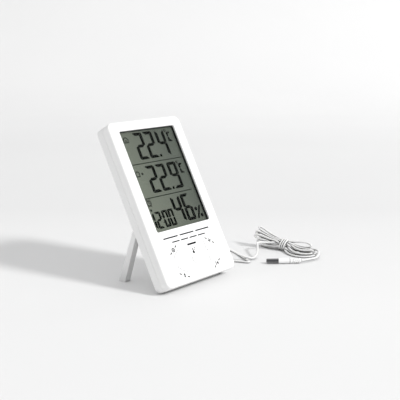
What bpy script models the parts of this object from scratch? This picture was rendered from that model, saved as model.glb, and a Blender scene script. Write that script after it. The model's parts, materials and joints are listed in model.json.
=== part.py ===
"""Indoor and outdoor maximum minimum thermometer with a humidity display and a clock.

A white two-shell housing leans back on its lower rear edge and on a fold-out
stand. It holds a large glass display behind a clear window, a circuit board
with five push switches, one cylindrical cell behind a sliding door, and a
probe on a long cable that is tied into a hank.

Frame: the origin is the middle of the lower rear edge, on the table. +X is to
the right of someone who faces the display, +Y is away from them, +Z is up.
Inside the housing, depth runs from the back plane (0) to the front face
(HOUSING_D), and z runs up along the leaning face, so a point (x, depth, z)
lies at (x, -depth, z) under the housing's empty.

Lengths are in millimetres, angles in degrees. A range is a (low, high) pair.
"""

import math

import bmesh
import bpy
from mathutils import Vector

for old in list(bpy.data.objects):
    bpy.data.objects.remove(old, do_unlink=True)

MM = 0.001

# ---- driving dimensions ----
HOUSING_W = 90.0
HOUSING_H = 152.0
HOUSING_D = 17.0
CORNER_R = 6.0
LEAN_DEG = 28.478
SPLIT_D = 8.1  # where the front shell and the rear cover meet
WALL = 2.0
FRONT_WALL = 1.7
INNER_FRONT = HOUSING_D - FRONT_WALL
SPLIT_CHAMFER = 0.3

WINDOW_HALF_W = 34.4
WINDOW_Z = (48.8, 143.1)
WINDOW_R = 1.5

SCREW_X = 40.4
SCREW_Z = (8.0, 145.5)
CORNER_SCREWS = [(side * SCREW_X, z) for side in (-1, 1) for z in SCREW_Z]
BOARD_SCREWS = [(side * 33.0, 38.0) for side in (-1, 1)]

BULGE_D = 8.0  # how far the battery bulge stands behind the back plane
BAY_HALF_W = 25.6
BAY_Z = (13.4, 25.6)
CELL_D = -0.4
CELL_Z = sum(BAY_Z) / 2
SOUNDER_Z = 38.0

DOOR_HALF_W = 26.6
DOOR_Z = (6.6, 29.0)
DOOR_TONGUE_HALF_W = 27.9
DOOR_GAP = 0.3

HINGE_Z = 56.0
HINGE_D = -8.0
STAND_OPEN_DEG = 47.0  # from the table's normal, as LEAN_DEG is
ROD_R = 2.0

GLASS_T = 1.05  # window lens and both display glasses
BOARD_DEPTHS = (6.6, 8.0)
MOUNT_D = BOARD_DEPTHS[1] + 0.1  # where the parts on the board start

CABLE_R = 1.0
CABLE_HOLE = (40.0, 22.0)

TO_FRONT = (0, -1, 0)
TO_BACK = (0, 1, 0)
TO_RIGHT = (1, 0, 0)
DOWN = (0, 0, -1)

LEAN = math.radians(LEAN_DEG)


# ---- materials ----
def finish(name, colour, roughness, metallic=0.0, alpha=1.0):
    made = bpy.data.materials.new(name)
    made.use_nodes = True
    shader = made.node_tree.nodes["Principled BSDF"]
    shader.inputs["Base Color"].default_value = (*colour, 1.0)
    shader.inputs["Roughness"].default_value = roughness
    shader.inputs["Metallic"].default_value = metallic
    shader.inputs["Alpha"].default_value = alpha
    return made


WHITE = finish("white_shell", colour=(0.86, 0.86, 0.85), roughness=0.42)
BLACK = finish("black_frame", colour=(0.02, 0.02, 0.022), roughness=0.5)
CLEAR = finish("clear_window", colour=(0.9, 0.92, 0.92), roughness=0.05, alpha=0.3)
DISPLAY = finish("display_glass", colour=(0.2, 0.21, 0.19), roughness=0.12)
REFLECT = finish("reflector_film", colour=(0.55, 0.56, 0.54), roughness=0.3, metallic=0.6)
INNER = finish("inner_plastic", colour=(0.75, 0.75, 0.72), roughness=0.5)
RUBBER = finish("contact_rubber", colour=(0.1, 0.1, 0.11), roughness=0.8)
BOARD = finish("board_green", colour=(0.03, 0.17, 0.07), roughness=0.4)
EPOXY = finish("epoxy_black", colour=(0.012, 0.012, 0.012), roughness=0.35)
TIN = finish("tinned_steel", colour=(0.62, 0.62, 0.6), roughness=0.3, metallic=1.0)
BRASS = finish("sounder_brass", colour=(0.7, 0.52, 0.22), roughness=0.35, metallic=1.0)
SENSOR = finish("sensor_white", colour=(0.8, 0.8, 0.78), roughness=0.5)
BEAD = finish("bead_black", colour=(0.02, 0.02, 0.02), roughness=0.4)
SWITCH = finish("switch_body", colour=(0.09, 0.09, 0.1), roughness=0.45)
CELL = finish("cell_wrap", colour=(0.05, 0.11, 0.16), roughness=0.35)
STEEL = finish("zinc_steel", colour=(0.5, 0.5, 0.5), roughness=0.35, metallic=1.0)
CABLE = finish("cable_white", colour=(0.85, 0.85, 0.84), roughness=0.5)
TIE = finish("tie_white", colour=(0.82, 0.82, 0.81), roughness=0.5)
SLEEVE = finish("probe_plastic", colour=(0.84, 0.84, 0.83), roughness=0.45)
TIP = finish("probe_metal", colour=(0.36, 0.36, 0.37), roughness=0.38, metallic=1.0)


# ---- places ----
def at(x, depth, z):
    """A point of the housing, in metres under the housing's empty."""
    return Vector((x, -depth, z)) * MM


def to_world(x, depth, z):
    """The same point in the object's own frame, in millimetres."""
    return Vector(
        (
            x,
            z * math.sin(LEAN) - depth * math.cos(LEAN),
            z * math.cos(LEAN) + depth * math.sin(LEAN),
        )
    )


# ---- flat outlines, anticlockwise lists of (x, z) ----
def arc(centre_x, centre_z, radius, start, sweep, steps):
    points = []
    for k in range(steps + 1):
        angle = math.radians(start + sweep * k / steps)
        points.append((centre_x + radius * math.cos(angle), centre_z + radius * math.sin(angle)))
    return points


def rounded_rect(half_width, z_range, radius, steps=5, grow=0, centre_x=0):
    """Starts at the lower right corner. Growing moves the sides and leaves the radius."""
    centre_z = (z_range[0] + z_range[1]) / 2
    reach_x = half_width + grow - radius
    reach_z = (z_range[1] - z_range[0]) / 2 + grow - radius
    points = []
    for side_x, side_z, start in ((1, -1, -90), (1, 1, 0), (-1, 1, 90), (-1, -1, 180)):
        corner = (centre_x + side_x * reach_x, centre_z + side_z * reach_z)
        points += arc(*corner, radius, start, 90, steps)
    return points


def housing_outline(inset):
    return rounded_rect(HOUSING_W / 2, (0, HOUSING_H), CORNER_R - inset, 6, grow=-inset)


def window_outline(grow, radius):
    return rounded_rect(WINDOW_HALF_W, WINDOW_Z, radius, grow=grow)


def grown(outline, distance):
    """The outline with each side moved outwards."""
    count = len(outline)
    moved = []
    for i in range(count):
        before, here, after = (Vector(outline[(i + k) % count]) for k in (-1, 0, 1))
        arriving = (here - before).normalized()
        leaving = (after - here).normalized()
        normal = Vector((arriving.y, -arriving.x))
        mitre = normal + Vector((leaving.y, -leaving.x))
        mitre = mitre / max(mitre.dot(normal), 1e-6)
        moved.append((here.x + mitre.x * distance, here.y + mitre.y * distance))
    return moved


# ---- bodies, as bmeshes in metres ----
def bridge(body, lower, upper):
    count = len(lower)
    for i in range(count):
        j = (i + 1) % count
        body.faces.new((lower[i], lower[j], upper[j], upper[i]))


def loft(loops, ring=False):
    """A closed body through equally long loops. A ring joins the last loop to the first."""
    body = bmesh.new()
    rows = [[body.verts.new(point) for point in loop] for loop in loops]
    for lower, upper in zip(rows, rows[1:]):
        bridge(body, lower, upper)
    if ring:
        bridge(body, rows[-1], rows[0])
    else:
        body.faces.new(list(reversed(rows[0])))
        body.faces.new(rows[-1])
    bmesh.ops.recalc_face_normals(body, faces=body.faces)
    return body


def stack(levels):
    """A body in the housing through (depth, outline) levels."""
    return loft([[at(x, depth, z) for x, z in outline] for depth, outline in levels])


def prism(depths, outline):
    return stack([(depth, outline) for depth in depths])


def box(x_range, depths, z_range):
    left, right = x_range
    low, high = z_range
    return prism(depths, [(right, low), (right, high), (left, high), (left, low)])


def post(x, z, radius, depths, sides=16):
    return prism(depths, arc(x, z, radius, 0, 360, sides)[:-1])


def posts(places, radius, depths, sides=16):
    return [post(x, z, radius, depths, sides) for x, z in places]


def across(outline, x_start, x_end):
    """A body of one (depth, z) outline between two x."""
    return loft([[at(x, depth, z) for depth, z in outline] for x in (x_start, x_end)])


def across_both(outline, x_start, x_end):
    return [across(outline, x_start, x_end), across(outline, -x_end, -x_start)]


def ellipse_loop(middle, side, other, side_r, other_r, sides):
    """Points round a middle given in millimetres; side and other are unit directions."""
    points = []
    for k in range(sides):
        angle = 2 * math.pi * k / sides
        offset = side_r * math.cos(angle) * side + other_r * math.sin(angle) * other
        points.append((middle + offset) * MM)
    return points


def turned(profile, centre, axis, sides=16, ring=False):
    """A turned body: the profile is (radius, height) along the axis. A radius of 0 is a pole."""
    axis = Vector(axis).normalized()
    side = axis.orthogonal().normalized()
    other = axis.cross(side)
    body = bmesh.new()
    rows = []
    for radius, height in profile:
        middle = Vector(centre) + axis * height
        if radius == 0:
            points = [middle * MM]
        else:
            points = ellipse_loop(middle, side, other, radius, radius, sides)
        rows.append([body.verts.new(point) for point in points])
    pairs = list(zip(rows, rows[1:]))
    if ring:
        pairs.append((rows[-1], rows[0]))
    for lower, upper in pairs:
        if len(lower) > 1 and len(upper) > 1:
            bridge(body, lower, upper)
            continue
        pole, loop = (lower[0], upper) if len(lower) == 1 else (upper[0], lower)
        for i in range(sides):
            body.faces.new((pole, loop[i], loop[(i + 1) % sides]))
    if not ring:
        for row in (rows[0], rows[-1]):
            if len(row) > 1:
                body.faces.new(row)
    bmesh.ops.recalc_face_normals(body, faces=body.faces)
    return body


def smooth_path(points, steps=4):
    """A Catmull-Rom curve through the points."""
    points = [Vector(point) for point in points]
    ends = [2 * points[0] - points[1], *points, 2 * points[-1] - points[-2]]
    path = []
    for i in range(1, len(ends) - 2):
        p0, p1, p2, p3 = ends[i - 1 : i + 3]
        for k in range(steps):
            t = k / steps
            linear = (p2 - p0) * t
            square = (2 * p0 - 5 * p1 + 4 * p2 - p3) * t * t
            cubic = (3 * p1 - 3 * p2 + p3 - p0) * t * t * t
            path.append(0.5 * (2 * p1 + linear + square + cubic))
    path.append(points[-1])
    return path


def swept(path, radius, sides=8):
    """A tube along the path, whose frame is carried from point to point without twist."""
    last = len(path) - 1
    tangents = [
        (path[min(i + 1, last)] - path[max(i - 1, 0)]).normalized() for i in range(last + 1)
    ]
    side = tangents[0].orthogonal().normalized()
    loops = []
    for point, tangent in zip(path, tangents):
        side = (side - tangent * side.dot(tangent)).normalized()
        other = tangent.cross(side)
        loops.append(ellipse_loop(point, side, other, radius, radius, sides))
    return loft(loops)


def joined(*bodies):
    """Bodies that stay clear of each other, as one."""
    whole = bmesh.new()
    for body in bodies:
        mesh = bpy.data.meshes.new("piece")
        body.to_mesh(mesh)
        body.free()
        whole.from_mesh(mesh)
        bpy.data.meshes.remove(mesh)
    return whole


# ---- objects ----
def empty(name, location, lean):
    made = bpy.data.objects.new(name, None)
    made.empty_display_size = 0.01
    made.location = location
    made.rotation_euler = (lean, 0, 0)
    bpy.context.scene.collection.objects.link(made)
    return made


def node(name, body, material, parent=None, origin=(0, 0, 0), smooth=35):
    """An object with its origin at a point of its parent's frame.

    Edges sharper than the smooth angle stay sharp; 0 leaves the faces flat.
    """
    origin = Vector(origin)
    bmesh.ops.translate(body, verts=body.verts, vec=-origin)
    mesh = bpy.data.meshes.new(name)
    body.to_mesh(mesh)
    body.free()
    mesh.materials.append(material)
    if smooth:
        mesh.shade_smooth()
        mesh.set_sharp_from_angle(angle=math.radians(smooth))
    made = bpy.data.objects.new(name, mesh)
    made.location = origin
    made.parent = parent
    bpy.context.scene.collection.objects.link(made)
    return made


def part(name, body, material, origin=(0, 0, 0)):
    """A piece under the housing's empty, with its origin as (x, depth, z)."""
    return node(name, body, material, housing, at(*origin))


def boolean(target, operation, name, body):
    helper = node("helper_" + name, body, WHITE, target.parent, smooth=0)
    helper.hide_render = True
    helper.display_type = "WIRE"
    modifier = target.modifiers.new(name, "BOOLEAN")
    modifier.operation = operation
    modifier.solver = "EXACT"
    modifier.object = helper


def cut(target, name, body):
    boolean(target, "DIFFERENCE", name, body)


def add(target, name, body):
    boolean(target, "UNION", name, body)


# ---- the two reference empties ----
housing = empty("housing_axes", (0, 0, 0), -LEAN)
hinge_point = to_world(0, HINGE_D, HINGE_Z)
STAND_TILT = math.radians(STAND_OPEN_DEG - LEAN_DEG)
stand_axis = empty("stand_axis", hinge_point * MM, STAND_TILT)

# ---- button outlines: four quadrants of an ellipse round one small oval ----
BUTTON_CENTRE_Z = 20.0
ELLIPSE_HALF_W = 27.5
ELLIPSE_HALF_H = 13.5
QUADRANT_INNER_X = 15.0
QUADRANT_INNER_Z = 2.5  # from the ellipse's centre
QUADRANT_CORNER_R = 1.2
QUADRANT_STEPS = 10
SWITCH_OFFSET = (20.5, 6.5)
UNIT_Z = 17.5
UNIT_HALF_W = 6.0
UNIT_HALF_H = 3.3
UNIT_R = 3.25
# Which side of the ellipse's centre each button lies on, in x and in z.
QUADRANTS = {"mode": (-1, 1), "adjust": (1, 1), "memory": (-1, -1), "reset": (1, -1)}


def quadrant(side_x, side_z):
    """Two straight inner sides and an outer side on the ellipse."""
    radius = QUADRANT_CORNER_R
    inner_x, inner_z = QUADRANT_INNER_X + radius, QUADRANT_INNER_Z + radius
    half_w, half_h = ELLIPSE_HALF_W - radius, ELLIPSE_HALF_H - radius
    start, stop = math.asin(inner_z / half_h), math.acos(inner_x / half_w)
    core = [(inner_x, inner_z)]
    for k in range(QUADRANT_STEPS + 1):
        angle = start + (stop - start) * k / QUADRANT_STEPS
        core.append((half_w * math.cos(angle), half_h * math.sin(angle)))
    # The core is grown by the corner radius, with an arc at each of its three corners.
    points = []
    count = len(core)
    for i in range(count):
        before, here, after = (Vector(core[(i + k) % count]) for k in (-1, 0, 1))
        arriving, leaving = here - before, after - here
        first = math.atan2(-arriving.x, arriving.y)
        turn = (math.atan2(-leaving.x, leaving.y) - first) % (2 * math.pi)
        is_corner = turn > 0.5
        for share in (0, 0.25, 0.5, 0.75, 1) if is_corner else (0.5,):
            angle = first + turn * share
            points.append((here.x + radius * math.cos(angle), here.y + radius * math.sin(angle)))
    points = [(side_x * x, BUTTON_CENTRE_Z + side_z * z) for x, z in points]
    # One mirroring turns the outline clockwise.
    return points if side_x == side_z else list(reversed(points))


BUTTONS = {name: quadrant(*sides) for name, sides in QUADRANTS.items()}
BUTTONS["unit"] = rounded_rect(UNIT_HALF_W, (UNIT_Z - UNIT_HALF_H, UNIT_Z + UNIT_HALF_H), UNIT_R)
SWITCHES = {
    name: (side_x * SWITCH_OFFSET[0], BUTTON_CENTRE_Z + side_z * SWITCH_OFFSET[1])
    for name, (side_x, side_z) in QUADRANTS.items()
}
SWITCHES["unit"] = (0.0, UNIT_Z)

# ---- front shell ----
SPLIT_GAP = 0.3
FRONT_EDGE_R = 1.8
FRONT_EDGE_STEPS = 4
BOSS_SINK = 0.6  # how far the bosses run into the front wall
OPENING_D = 13.5  # inner end of the cutters that pass through the front wall
BUTTON_GAP = 0.25

shell_rim = SPLIT_D + SPLIT_GAP
levels = [
    (shell_rim, housing_outline(SPLIT_CHAMFER)),
    (shell_rim + SPLIT_CHAMFER, housing_outline(0)),
]
for k in range(FRONT_EDGE_STEPS + 1):
    angle = math.radians(90 * k / FRONT_EDGE_STEPS)
    depth = HOUSING_D - FRONT_EDGE_R + FRONT_EDGE_R * math.sin(angle)
    levels.append((depth, housing_outline(FRONT_EDGE_R * (1 - math.cos(angle)))))
front_shell = part("front_shell", stack(levels), WHITE)
cut(front_shell, "front_cavity", prism((7.0, INNER_FRONT), housing_outline(WALL)))
boss_end = INNER_FRONT + BOSS_SINK
add(
    front_shell,
    "front_bosses",
    joined(
        *posts(CORNER_SCREWS, 2.8, (SPLIT_D + 0.6, boss_end)),
        *posts(BOARD_SCREWS, 2.4, (8.25, boss_end)),
    ),
)
# The window opening flares by 1 mm at the front face.
window_levels = ((OPENING_D, 0), (HOUSING_D - 0.35, 0), (HOUSING_D + 0.65, 1.0))
cut(
    front_shell,
    "front_openings",
    joined(
        stack([(depth, window_outline(flare, WINDOW_R + flare)) for depth, flare in window_levels]),
        *[prism((OPENING_D, 18.0), grown(outline, BUTTON_GAP)) for outline in BUTTONS.values()],
        *posts(CORNER_SCREWS, 1.2, (8.0, 14.2), 12),
        *posts(BOARD_SCREWS, 1.0, (8.0, 13.6), 12),
    ),
)

# ---- rear cover: shell, bulge, panel, battery box and pillars ----
REAR_EDGE_R = 1.2
REAR_WALL = 3.4
TONGUE_INSET = WALL + 0.2
TONGUE_TOP = 10.0
ROOT_D = 1.0  # inside the back wall, where added bodies end
PAD_R = 4
BAY_WALL = 1.6

rear_cover = part(
    "rear_cover",
    stack(
        [
            (0.0, housing_outline(REAR_EDGE_R)),
            (0.35, housing_outline(0.35)),
            (REAR_EDGE_R, housing_outline(0)),
            (SPLIT_D - SPLIT_CHAMFER, housing_outline(0)),
            (SPLIT_D, housing_outline(SPLIT_CHAMFER)),
            (SPLIT_D, housing_outline(TONGUE_INSET)),
            (TONGUE_TOP, housing_outline(TONGUE_INSET)),
        ]
    ),
    WHITE,
)
cut(rear_cover, "rear_cavity", prism((WALL, 11.0), housing_outline(REAR_WALL)))


def raised_pad(half_width, z_range, height, edge):
    """A pad behind the back plane. Its edge is (distance from the rear face, inset) rows."""
    levels = [
        (rise - height, rounded_rect(half_width, z_range, PAD_R - inset, grow=-inset))
        for rise, inset in edge
    ]
    return stack([*levels, (ROOT_D, rounded_rect(half_width, z_range, PAD_R))])


bulge_edge = ((0, 1.5), (0.44, 0.44), (1.5, 0))
add(rear_cover, "battery_bulge", raised_pad(29.5, (6.5, 47.0), BULGE_D, bulge_edge))
add(rear_cover, "wall_panel", raised_pad(36.0, (68.0, 146.0), 1.2, ((0, 0.5), (0.5, 0))))
add(
    rear_cover,
    "battery_box_and_pillars",
    joined(
        prism((ROOT_D, 6.4), rounded_rect(BAY_HALF_W, BAY_Z, 1, 2, grow=BAY_WALL)),
        *posts(CORNER_SCREWS, 3.0, (ROOT_D, 8.3)),
    ),
)

# ---- rear cover: foot and hinge lugs ----
FOOT_HALF_W = 36.0
LUG_X = (24.0, 29.0)
LUG_HEAD_R = 3.6
LUG_ROOT_D = 0.8
LUG_ROOT_HALF = 6.0
BORE_R = ROD_R + 0.2
BORE_MOUTH_HALF = 1.66
BORE_MOUTH_D = -13.0

# A rib whose underside, 1 mm either way, lies flat on the table when the housing leans.
foot = [
    (-math.cos(LEAN), math.sin(LEAN)),
    (math.cos(LEAN), -math.sin(LEAN)),
    (2.4, 0.6),
    (2.4, 2.6),
    (0.6, 4.2),
    (-math.cos(LEAN), 2.4),
]
# Each lug is a plate with a round head; its bore has a mouth for the rod to snap in.
lug = [
    (LUG_ROOT_D, HINGE_Z - LUG_ROOT_HALF),
    *arc(HINGE_D, HINGE_Z, LUG_HEAD_R, -75, -210, 12),
    (LUG_ROOT_D, HINGE_Z + LUG_ROOT_HALF),
]
bore = [
    *arc(HINGE_D, HINGE_Z, BORE_R, -131, 262, 16),
    (BORE_MOUTH_D, HINGE_Z + BORE_MOUTH_HALF),
    (BORE_MOUTH_D, HINGE_Z - BORE_MOUTH_HALF),
]
add(
    rear_cover,
    "foot_and_lugs",
    joined(across(foot, -FOOT_HALF_W, FOOT_HALF_W), *across_both(lug, *LUG_X)),
)

# ---- rear cover: openings ----
BEHIND_D = -9.0  # clear of the bulge's rear face
RECESS_D = -6.3  # floor of the recess for the door
HAIR = 0.01  # keeps faces of successive cutters apart
BACK_CUT = (-3.0, 3.0)  # depths of a cut through the panel and the back wall
SLOT_HALF_H = 0.9
SLOT_PITCH = 4.5
# (radius, depth): a countersunk passage for each corner screw.
SCREW_PASSAGE = [(0, -3.0), (2.2, -3.0), (2.2, 4.0), (1.2, 4.0), (1.2, 9.5), (0, 9.5)]

cut(
    rear_cover,
    "battery_opening",
    box((-BAY_HALF_W, BAY_HALF_W), (BEHIND_D, 5.2), BAY_Z),
)
recess_x = DOOR_HALF_W + DOOR_GAP
recess_top = DOOR_Z[1] + DOOR_GAP
cut(
    rear_cover,
    "door_recess",
    box((-recess_x, recess_x), (BEHIND_D, RECESS_D), (5.0, recess_top)),
)
groove_x = DOOR_TONGUE_HALF_W + DOOR_GAP
cut(
    rear_cover,
    "door_grooves",
    box((-groove_x, groove_x), (-7.6, RECESS_D - HAIR), (5.0, recess_top - HAIR)),
)
keyhole = arc(0, 127.0, 4.2, 118, 304, 16) + arc(0, 135.0, 1.97, 0, 180, 8)
slot_zs = [76.0 + SLOT_PITCH * k for k in range(5)]
cut(
    rear_cover,
    "rear_openings",
    joined(
        prism((-6.0, 3.0), rounded_rect(27.5, (30.8, 45.0), 2.5, 3)),
        prism(BACK_CUT, keyhole),
        *[
            prism(BACK_CUT, rounded_rect(15, (z - SLOT_HALF_H, z + SLOT_HALF_H), 0.88, 3))
            for z in slot_zs
        ],
        post(*CABLE_HOLE, 1.85, (-2.0, 3.5)),
        *[turned(SCREW_PASSAGE, (x, 0, z), TO_FRONT, 12) for x, z in CORNER_SCREWS],
        *across_both(bore, LUG_X[0] - 1, LUG_X[1] + 1),
    ),
)
tab_x = (24.6, BAY_HALF_W - HAIR)
tab_z = (CELL_Z - 1.3, CELL_Z + 1.3)
cut(
    rear_cover,
    "small_holes",
    joined(
        # Slots for the contacts' tabs, sound holes, and room for the front shell's bosses.
        box(tab_x, (4.0, 7.5), tab_z),
        box((-tab_x[1], -tab_x[0]), (4.0, 7.5), tab_z),
        *posts([(x, SOUNDER_Z) for x in (-4.0, 0.0, 4.0)], 0.8, (BEHIND_D, -5.0), 8),
        *posts(CORNER_SCREWS, 3.25, (8.35, 11.0)),
    ),
)

# ---- window lens and its black frame ----
LENS_D = 14.0
LENS_LAP = 0.7
LENS_R = 1.9
LENS_GAP = 0.3
FRAME_STEP_D = 13.85

part(
    "window_lens",
    prism((LENS_D, LENS_D + GLASS_T), window_outline(LENS_LAP, LENS_R)),
    CLEAR,
    (0, 14.5, 96),
)
lens_frame = part(
    "lens_frame",
    prism((13.2, INNER_FRONT - 0.15), window_outline(2.2, 3)),
    BLACK,
)
frame_hole = window_outline(0, WINDOW_R)
lens_seat = window_outline(LENS_LAP + LENS_GAP, LENS_R + LENS_GAP)
cut(
    lens_frame,
    "frame_opening",
    stack(
        [(12.0, frame_hole), (FRAME_STEP_D, frame_hole), (FRAME_STEP_D, lens_seat), (16.0, lens_seat)]
    ),
)

# ---- display ----
GLASS_HALF_W = 35.9
GLASS_TOP = 144.5
FRONT_GLASS_D = 12.0
REAR_GLASS_D = 10.65
# name, material, depths, lower edge z, inset, depth and z of the origin
DISPLAY_PLATES = (
    ("front_glass", DISPLAY, (FRONT_GLASS_D, FRONT_GLASS_D + GLASS_T), 43.8, 0, 12.5, 94),
    ("rear_glass", DISPLAY, (REAR_GLASS_D, REAR_GLASS_D + GLASS_T), 48.3, 0, 11.2, 96),
    ("reflector", REFLECT, (10.3, 10.52), 48.3, 0.3, 10.4, 96),
)
for name, material, depths, low, inset, origin_d, origin_z in DISPLAY_PLATES:
    outline = rounded_rect(GLASS_HALF_W, (low, GLASS_TOP), 0.4, 1, grow=-inset)
    part("display_" + name, prism(depths, outline), material, (0, origin_d, origin_z))

retainer = part(
    "display_retainer",
    prism((7.6, 13.0), rounded_rect(37.0, (47.9, 147.1), 3)),
    INNER,
)
cut(retainer, "retainer_opening", prism((5.0, 14.0), rounded_rect(33, (52, 141), 2, 3)))
seat_x = GLASS_HALF_W + 0.2
cut(
    retainer,
    "retainer_seat",
    box((-seat_x, seat_x), (10.2, 14.5), (40.0, GLASS_TOP + 0.3)),
)
strip_depths = (BOARD_DEPTHS[1] + 0.15, FRONT_GLASS_D - 0.15)
part("contact_strip", box((-33, 33), strip_depths, (44.3, 47.3)), RUBBER, (0, 10, 45.8))

# ---- circuit board and small parts ----
main_board = part(
    "main_board",
    prism(BOARD_DEPTHS, rounded_rect(36.8, (4.6, 47.5), 1, 3)),
    BOARD,
)
cut(main_board, "board_holes", joined(*posts(BOARD_SCREWS, 1.1, (5.0, 10.0), 12)))

# name, material, sides, (x, depth, z) of origin and axis start, axis, (radius, height) profile
TURNED_PARTS = (
    ("controller_blob", EPOXY, 16, (0, MOUNT_D, 32), TO_FRONT,
     [(5.5, 0), (5.3, 0.5), (4.2, 1.2), (2.2, 1.6), (0, 1.7)]),
    ("clock_crystal", TIN, 10, (9, 9.2, 37), TO_RIGHT,
     [(0.9, 0), (1.0, 0.15), (1.0, 5.6), (0.8, 6.0)]),
    ("indoor_thermistor", BEAD, 10, (31.5, 9.5, 31), DOWN,
     [(0, -0.1), (0.9, 0.3), (1.25, 1.2), (1.0, 2.2), (0.35, 3.0), (0.3, 5.0), (0, 5.1)]),
    ("sounder_disc", BRASS, 24, (0, -5.75, SOUNDER_Z), TO_FRONT,
     [(7.0, 0), (7.0, 0.35), (4.6, 0.36), (4.6, 0.7)]),
)
for name, material, sides, (x, depth, z), axis, profile in TURNED_PARTS:
    body = turned(profile, (x, -depth, z), axis, sides)
    part(name, body, material, (x, depth, z))

VENT_X = -33.3
VENT_W = 0.7
VENT_PITCH = 1.5
humidity_sensor = part(
    "humidity_sensor",
    box((-34.5, -28.0), (MOUNT_D, 10.3), (25.5, 33.5)),
    SENSOR,
    (-31.25, 9, 29.5),
)
vents = []
for k in range(4):
    left = VENT_X + VENT_PITCH * k
    vents.append(box((left, left + VENT_W), (9.6, 11.0), (26.8, 32.2)))
cut(humidity_sensor, "humidity_slots", joined(*vents))

# ---- push switches and the buttons over them ----
SWITCH_HALF = 3
PLUNGER_DEPTHS = (10.3, 13.5)
FLANGE_DEPTHS = (13.8, 14.95)
FLANGE_LAP = 0.9
BUTTON_TOP = HOUSING_D + 0.9

for name, (x, z) in SWITCHES.items():
    square = rounded_rect(SWITCH_HALF, (z - SWITCH_HALF, z + SWITCH_HALF), 0.4, 1, centre_x=x)
    switch = part(f"switch_{name}_body", prism((MOUNT_D, 11.6), square), SWITCH)
    cut(switch, f"switch_{name}_bore", post(x, z, 1.95, (9.4, 12.5), 12))
    plunger = post(x, z, 1.6, PLUNGER_DEPTHS, 12)
    part(f"switch_{name}_plunger", plunger, EPOXY, (x, PLUNGER_DEPTHS[1], z))
    outline = BUTTONS[name]
    flange = grown(outline, FLANGE_LAP)
    cap = [
        (FLANGE_DEPTHS[0], flange),
        (FLANGE_DEPTHS[1], flange),
        (FLANGE_DEPTHS[1], outline),
        (BUTTON_TOP - 0.5, outline),
        (BUTTON_TOP - 0.15, grown(outline, -0.15)),
        (BUTTON_TOP, grown(outline, -0.5)),
    ]
    part(f"button_{name}", stack(cap), WHITE, (x, FLANGE_DEPTHS[0], z))

# ---- cell ----
CELL_END_X = 24.7
# (radius, distance from the left end)
CELL_PROFILE = [
    (4.4, 0), (5.25, 0.4), (5.25, 42.7), (4.8, 43.3), (1.9, 43.32), (1.9, 44.2), (1.6, 44.5),
]
cell_start = (CELL_END_X - CELL_PROFILE[-1][1], -CELL_D, CELL_Z)
part("battery_cell", turned(CELL_PROFILE, cell_start, TO_RIGHT, 20), CELL, (0, CELL_D, CELL_Z))

# ---- contacts: a plate at each end of the bay, with a tab towards the board ----
CONTACT_X = (25.0, 25.4)
CONTACT_DEPTHS = (-5.0, 4.85)
CONTACT_HALF_H = 4.5
TAB_HALF_H = 0.8
TAB_END_D = 6.4

contact_profile = [
    (CONTACT_DEPTHS[0], CELL_Z - CONTACT_HALF_H),
    (CONTACT_DEPTHS[1], CELL_Z - CONTACT_HALF_H),
    (CONTACT_DEPTHS[1], CELL_Z - TAB_HALF_H),
    (TAB_END_D, CELL_Z - TAB_HALF_H),
    (TAB_END_D, CELL_Z + TAB_HALF_H),
    (CONTACT_DEPTHS[1], CELL_Z + TAB_HALF_H),
    (CONTACT_DEPTHS[1], CELL_Z + CONTACT_HALF_H),
    (CONTACT_DEPTHS[0], CELL_Z + CONTACT_HALF_H),
]
for side, name in ((1, "plus"), (-1, "minus")):
    plate = across(contact_profile, side * CONTACT_X[0], side * CONTACT_X[1])
    part(f"contact_{name}", plate, TIN, (side * sum(CONTACT_X) / 2, 0, CELL_Z))

# ---- spring: a coil that narrows towards the cell ----
SPRING_TURNS = 4.5
SPRING_STEPS = 54
SPRING_X = -24.4
SPRING_L = 3.9
SPRING_R = 4.1
SPRING_TAPER = 1.5

coil = []
for k in range(SPRING_STEPS + 1):
    share = k / SPRING_STEPS
    angle = 2 * math.pi * SPRING_TURNS * share
    radius = SPRING_R - SPRING_TAPER * share
    x = SPRING_X + SPRING_L * share
    y = -CELL_D + radius * math.cos(angle)
    coil.append(Vector((x, y, CELL_Z + radius * math.sin(angle))))
part("battery_spring", swept(coil, 0.33, 5), TIN, (-22.4, CELL_D, CELL_Z))

# ---- battery door ----
DOOR_CHAMFER = 0.4

door_outline = rounded_rect(DOOR_HALF_W, DOOR_Z, 1.0, 2)
door = part(
    "battery_door",
    stack(
        [
            (-BULGE_D, rounded_rect(DOOR_HALF_W, DOOR_Z, 0.8, 2, grow=-DOOR_CHAMFER)),
            (-BULGE_D + DOOR_CHAMFER, door_outline),
            (-6.7, door_outline),
        ]
    ),
    WHITE,
)
tongue_outline = rounded_rect(DOOR_TONGUE_HALF_W, (8.0, 28.8), 0.5, 1)
add(door, "door_tongues", prism((-7.35, -6.6), tongue_outline))
# Four grip grooves, each 2 mm higher and 2 mm shorter than the last.
grip = [
    box((-7 + k, 7 - k), (BEHIND_D, -7.5), (9.5 + 2.0 * k, 10.5 + 2.0 * k)) for k in range(4)
]
cut(door, "door_grip", joined(*grip))

# ---- stand ----
ARM_X = (31.5, 38.0)
ARM_HALF_T = 2.75
ARM_HEAD_R = 3.0
ARM_FLARE = 2.2
ARM_CHAMFER = 0.5


def floor_z(y):
    """Height, in the stand's own frame, of the table under a point y behind the hinge."""
    return -(hinge_point.z + y * math.sin(STAND_TILT)) / math.cos(STAND_TILT)


def arm_outline(inset):
    """A round head at the hinge and a foot on the table, as (y, z)."""
    front, radius = inset - ARM_HALF_T, ARM_HEAD_R - inset
    back = ARM_FLARE - front
    dip = math.degrees(math.acos(-front / radius))
    head = arc(0, 0, radius, -dip, 180 + 2 * dip, 8)
    return [*head, (front, floor_z(front)), (back, floor_z(back))]


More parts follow.
